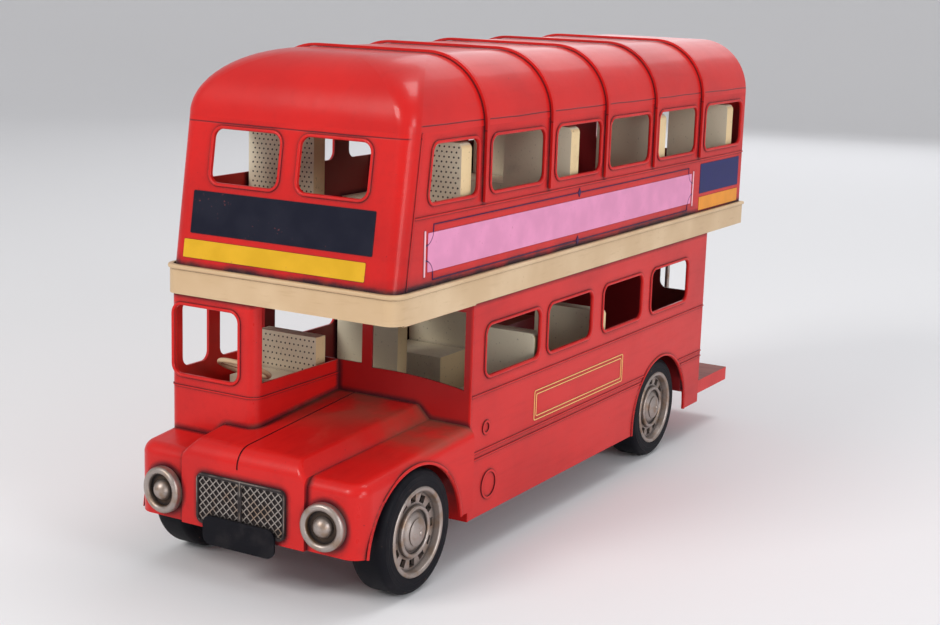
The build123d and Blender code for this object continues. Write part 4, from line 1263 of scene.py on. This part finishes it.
@dataclass(frozen=True)
class Lamp:
    """A soft square lamp, with its places and size in millimetres."""

    name: str
    at: Point3
    to: Point3
    size: float
    watts: float
    tint: Point3

    def hang(self) -> None:
        """Adds the lamp to the scene."""
        data = bpy.data.lights.new(self.name, "AREA")
        data.size = self.size * MM
        data.energy = self.watts
        data.color = self.tint
        made = bpy.data.objects.new(self.name, data)
        made.location = Vector(self.at) * MM
        made.rotation_mode = "QUATERNION"
        made.rotation_quaternion = (Vector(self.to) - Vector(self.at)).to_track_quat("-Z", "Y")
        bpy.context.scene.collection.objects.link(made)


@dataclass
class Studio:
    """Pale floor and backdrop, soft lights and the camera."""

    floor_radius: float = 2600.0
    wall_height: float = 1500.0
    bend: float = 900.0
    bend_steps: int = 12
    sides: int = 64
    lamps: tuple[Lamp, ...] = (
        Lamp("key_lamp", (-420, -1150, 900), (0, -60, 80), 500, 9.0, (1.0, 0.97, 0.93)),
        Lamp("edge_lamp", (1050, -720, 190), (0, -100, 120), 400, 2.2, (1.0, 0.98, 0.95)),
        Lamp("back_lamp", (-350, 1450, 650), (0, 120, 90), 1000, 3.2, (0.97, 0.98, 1.0)),
        Lamp("side_lamp", (1350, -350, 620), (0, 20, 90), 500, 6.0, (0.95, 0.97, 1.0)),
        Lamp("top_lamp", (250, 500, 1500), (0, 20, 90), 600, 6.0, (1.0, 1.0, 1.0)),
    )
    camera_at: Point3 = (339.5, -594.8, 215.2)
    yaw: float = 30.14
    pitch: float = 11.74
    roll: float = 1.83
    lens: float = 63.44
    floor_colour: Colour = (0.80, 0.80, 0.82, 1.0)
    world_level: float = 0.48

    def floor(self) -> None:
        """Makes the round floor, which bends up into a backdrop all round."""
        flat_radius = self.floor_radius - self.bend
        profile = [(flat_radius, 0.0)]
        for step in range(1, self.bend_steps + 1):
            angle = math.radians(90.0 * step / self.bend_steps)
            profile.append((flat_radius + self.bend * math.sin(angle), self.bend * (1.0 - math.cos(angle))))
        profile.append((self.floor_radius, self.wall_height))
        shape = bmesh.new()
        centre = shape.verts.new((0.0, 0.0, 0.0))
        turns = [math.tau * side / self.sides for side in range(self.sides)]
        rings = [
            [shape.verts.new(Vector((radius * math.cos(t), radius * math.sin(t), z)) * MM) for t in turns]
            for radius, z in profile
        ]
        for side in range(self.sides):
            after = (side + 1) % self.sides
            shape.faces.new((centre, rings[0][side], rings[0][after]))
            for near, far in zip(rings, rings[1:]):
                shape.faces.new((near[side], far[side], far[after], near[after])).smooth = True
        paper = ShaderGraph("studio_floor").surface(Base_Color=self.floor_colour, Roughness=0.8)
        made = mesh_object("studio_floor", shape, paper)

    def lights(self) -> None:
        """Adds the lamps and the world's even light."""
        for lamp in self.lamps:
            lamp.hang()
        world = bpy.data.worlds.new("studio_light")
        bpy.context.scene.world = world
        world.use_nodes = True
        background = world.node_tree.nodes["Background"]
        background.inputs["Color"].default_value = (1.0, 1.0, 1.0, 1.0)
        background.inputs["Strength"].default_value = self.world_level

    def camera(self) -> None:
        """Adds the camera at the photograph's place and angle."""
        yaw, pitch, roll = (math.radians(a) for a in (self.yaw, self.pitch, self.roll))
        ahead = Vector((-math.sin(yaw) * math.cos(pitch), math.cos(yaw) * math.cos(pitch), -math.sin(pitch)))
        right = Vector((math.cos(yaw), math.sin(yaw), 0.0))
        up = right.cross(ahead)
        rolled_right = right * math.cos(roll) + up * math.sin(roll)
        rolled_up = up * math.cos(roll) - right * math.sin(roll)
        data = bpy.data.cameras.new("photo_camera")
        data.sensor_width = 36.0
        data.lens = self.lens
        data.clip_start = 0.01
        data.clip_end = 50.0
        made = bpy.data.objects.new("photo_camera", data)
        turned = Matrix((rolled_right, rolled_up, -ahead)).transposed().to_4x4()
        made.matrix_world = Matrix.Translation(Vector(self.camera_at) * MM) @ turned
        bpy.context.scene.collection.objects.link(made)
        bpy.context.scene.camera = made

    def build(self) -> None:
        """Sets the stage."""
        self.floor()
        self.lights()
        self.camera()
        bpy.context.scene.view_settings.view_transform = "Standard"


def dress_nodes(nodes: Nodes, names: Sequence[str], paint: Material) -> None:
    """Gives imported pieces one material.

    Args:
        nodes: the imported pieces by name.
        names: which of them.
        paint: the material.
    """
    for name in names:
        slots = nodes[name].data.materials
        slots.clear()
        slots.append(paint)
        log.info("dressed %s with %s", name, paint.name)


def main() -> None:
    """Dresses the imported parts, adds the painted pieces and sets the stage."""
    logging.basicConfig(level=logging.INFO, format="%(message)s")
    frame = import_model()
    nodes = frame["nodes"]
    Bodywork().dress(nodes)
    CreamPieces().dress(nodes)
    Nose().dress(nodes)
    RunningGear().dress(nodes)
    seats = Seats()
    seats.dress(nodes)
    # The seats' holes are dark plugs of painted shade
    holes = seats.perforate(perforation_tree(), SignPaint(Ink.HOLE_SHADE, wear=0.0).material())
    signs = Signs().build()
    for piece in (*holes, *signs):
        log.info("made %s, %d faces", piece.name, len(piece.data.polygons))
    Studio().build()


if __name__ == "__main__":
    main()
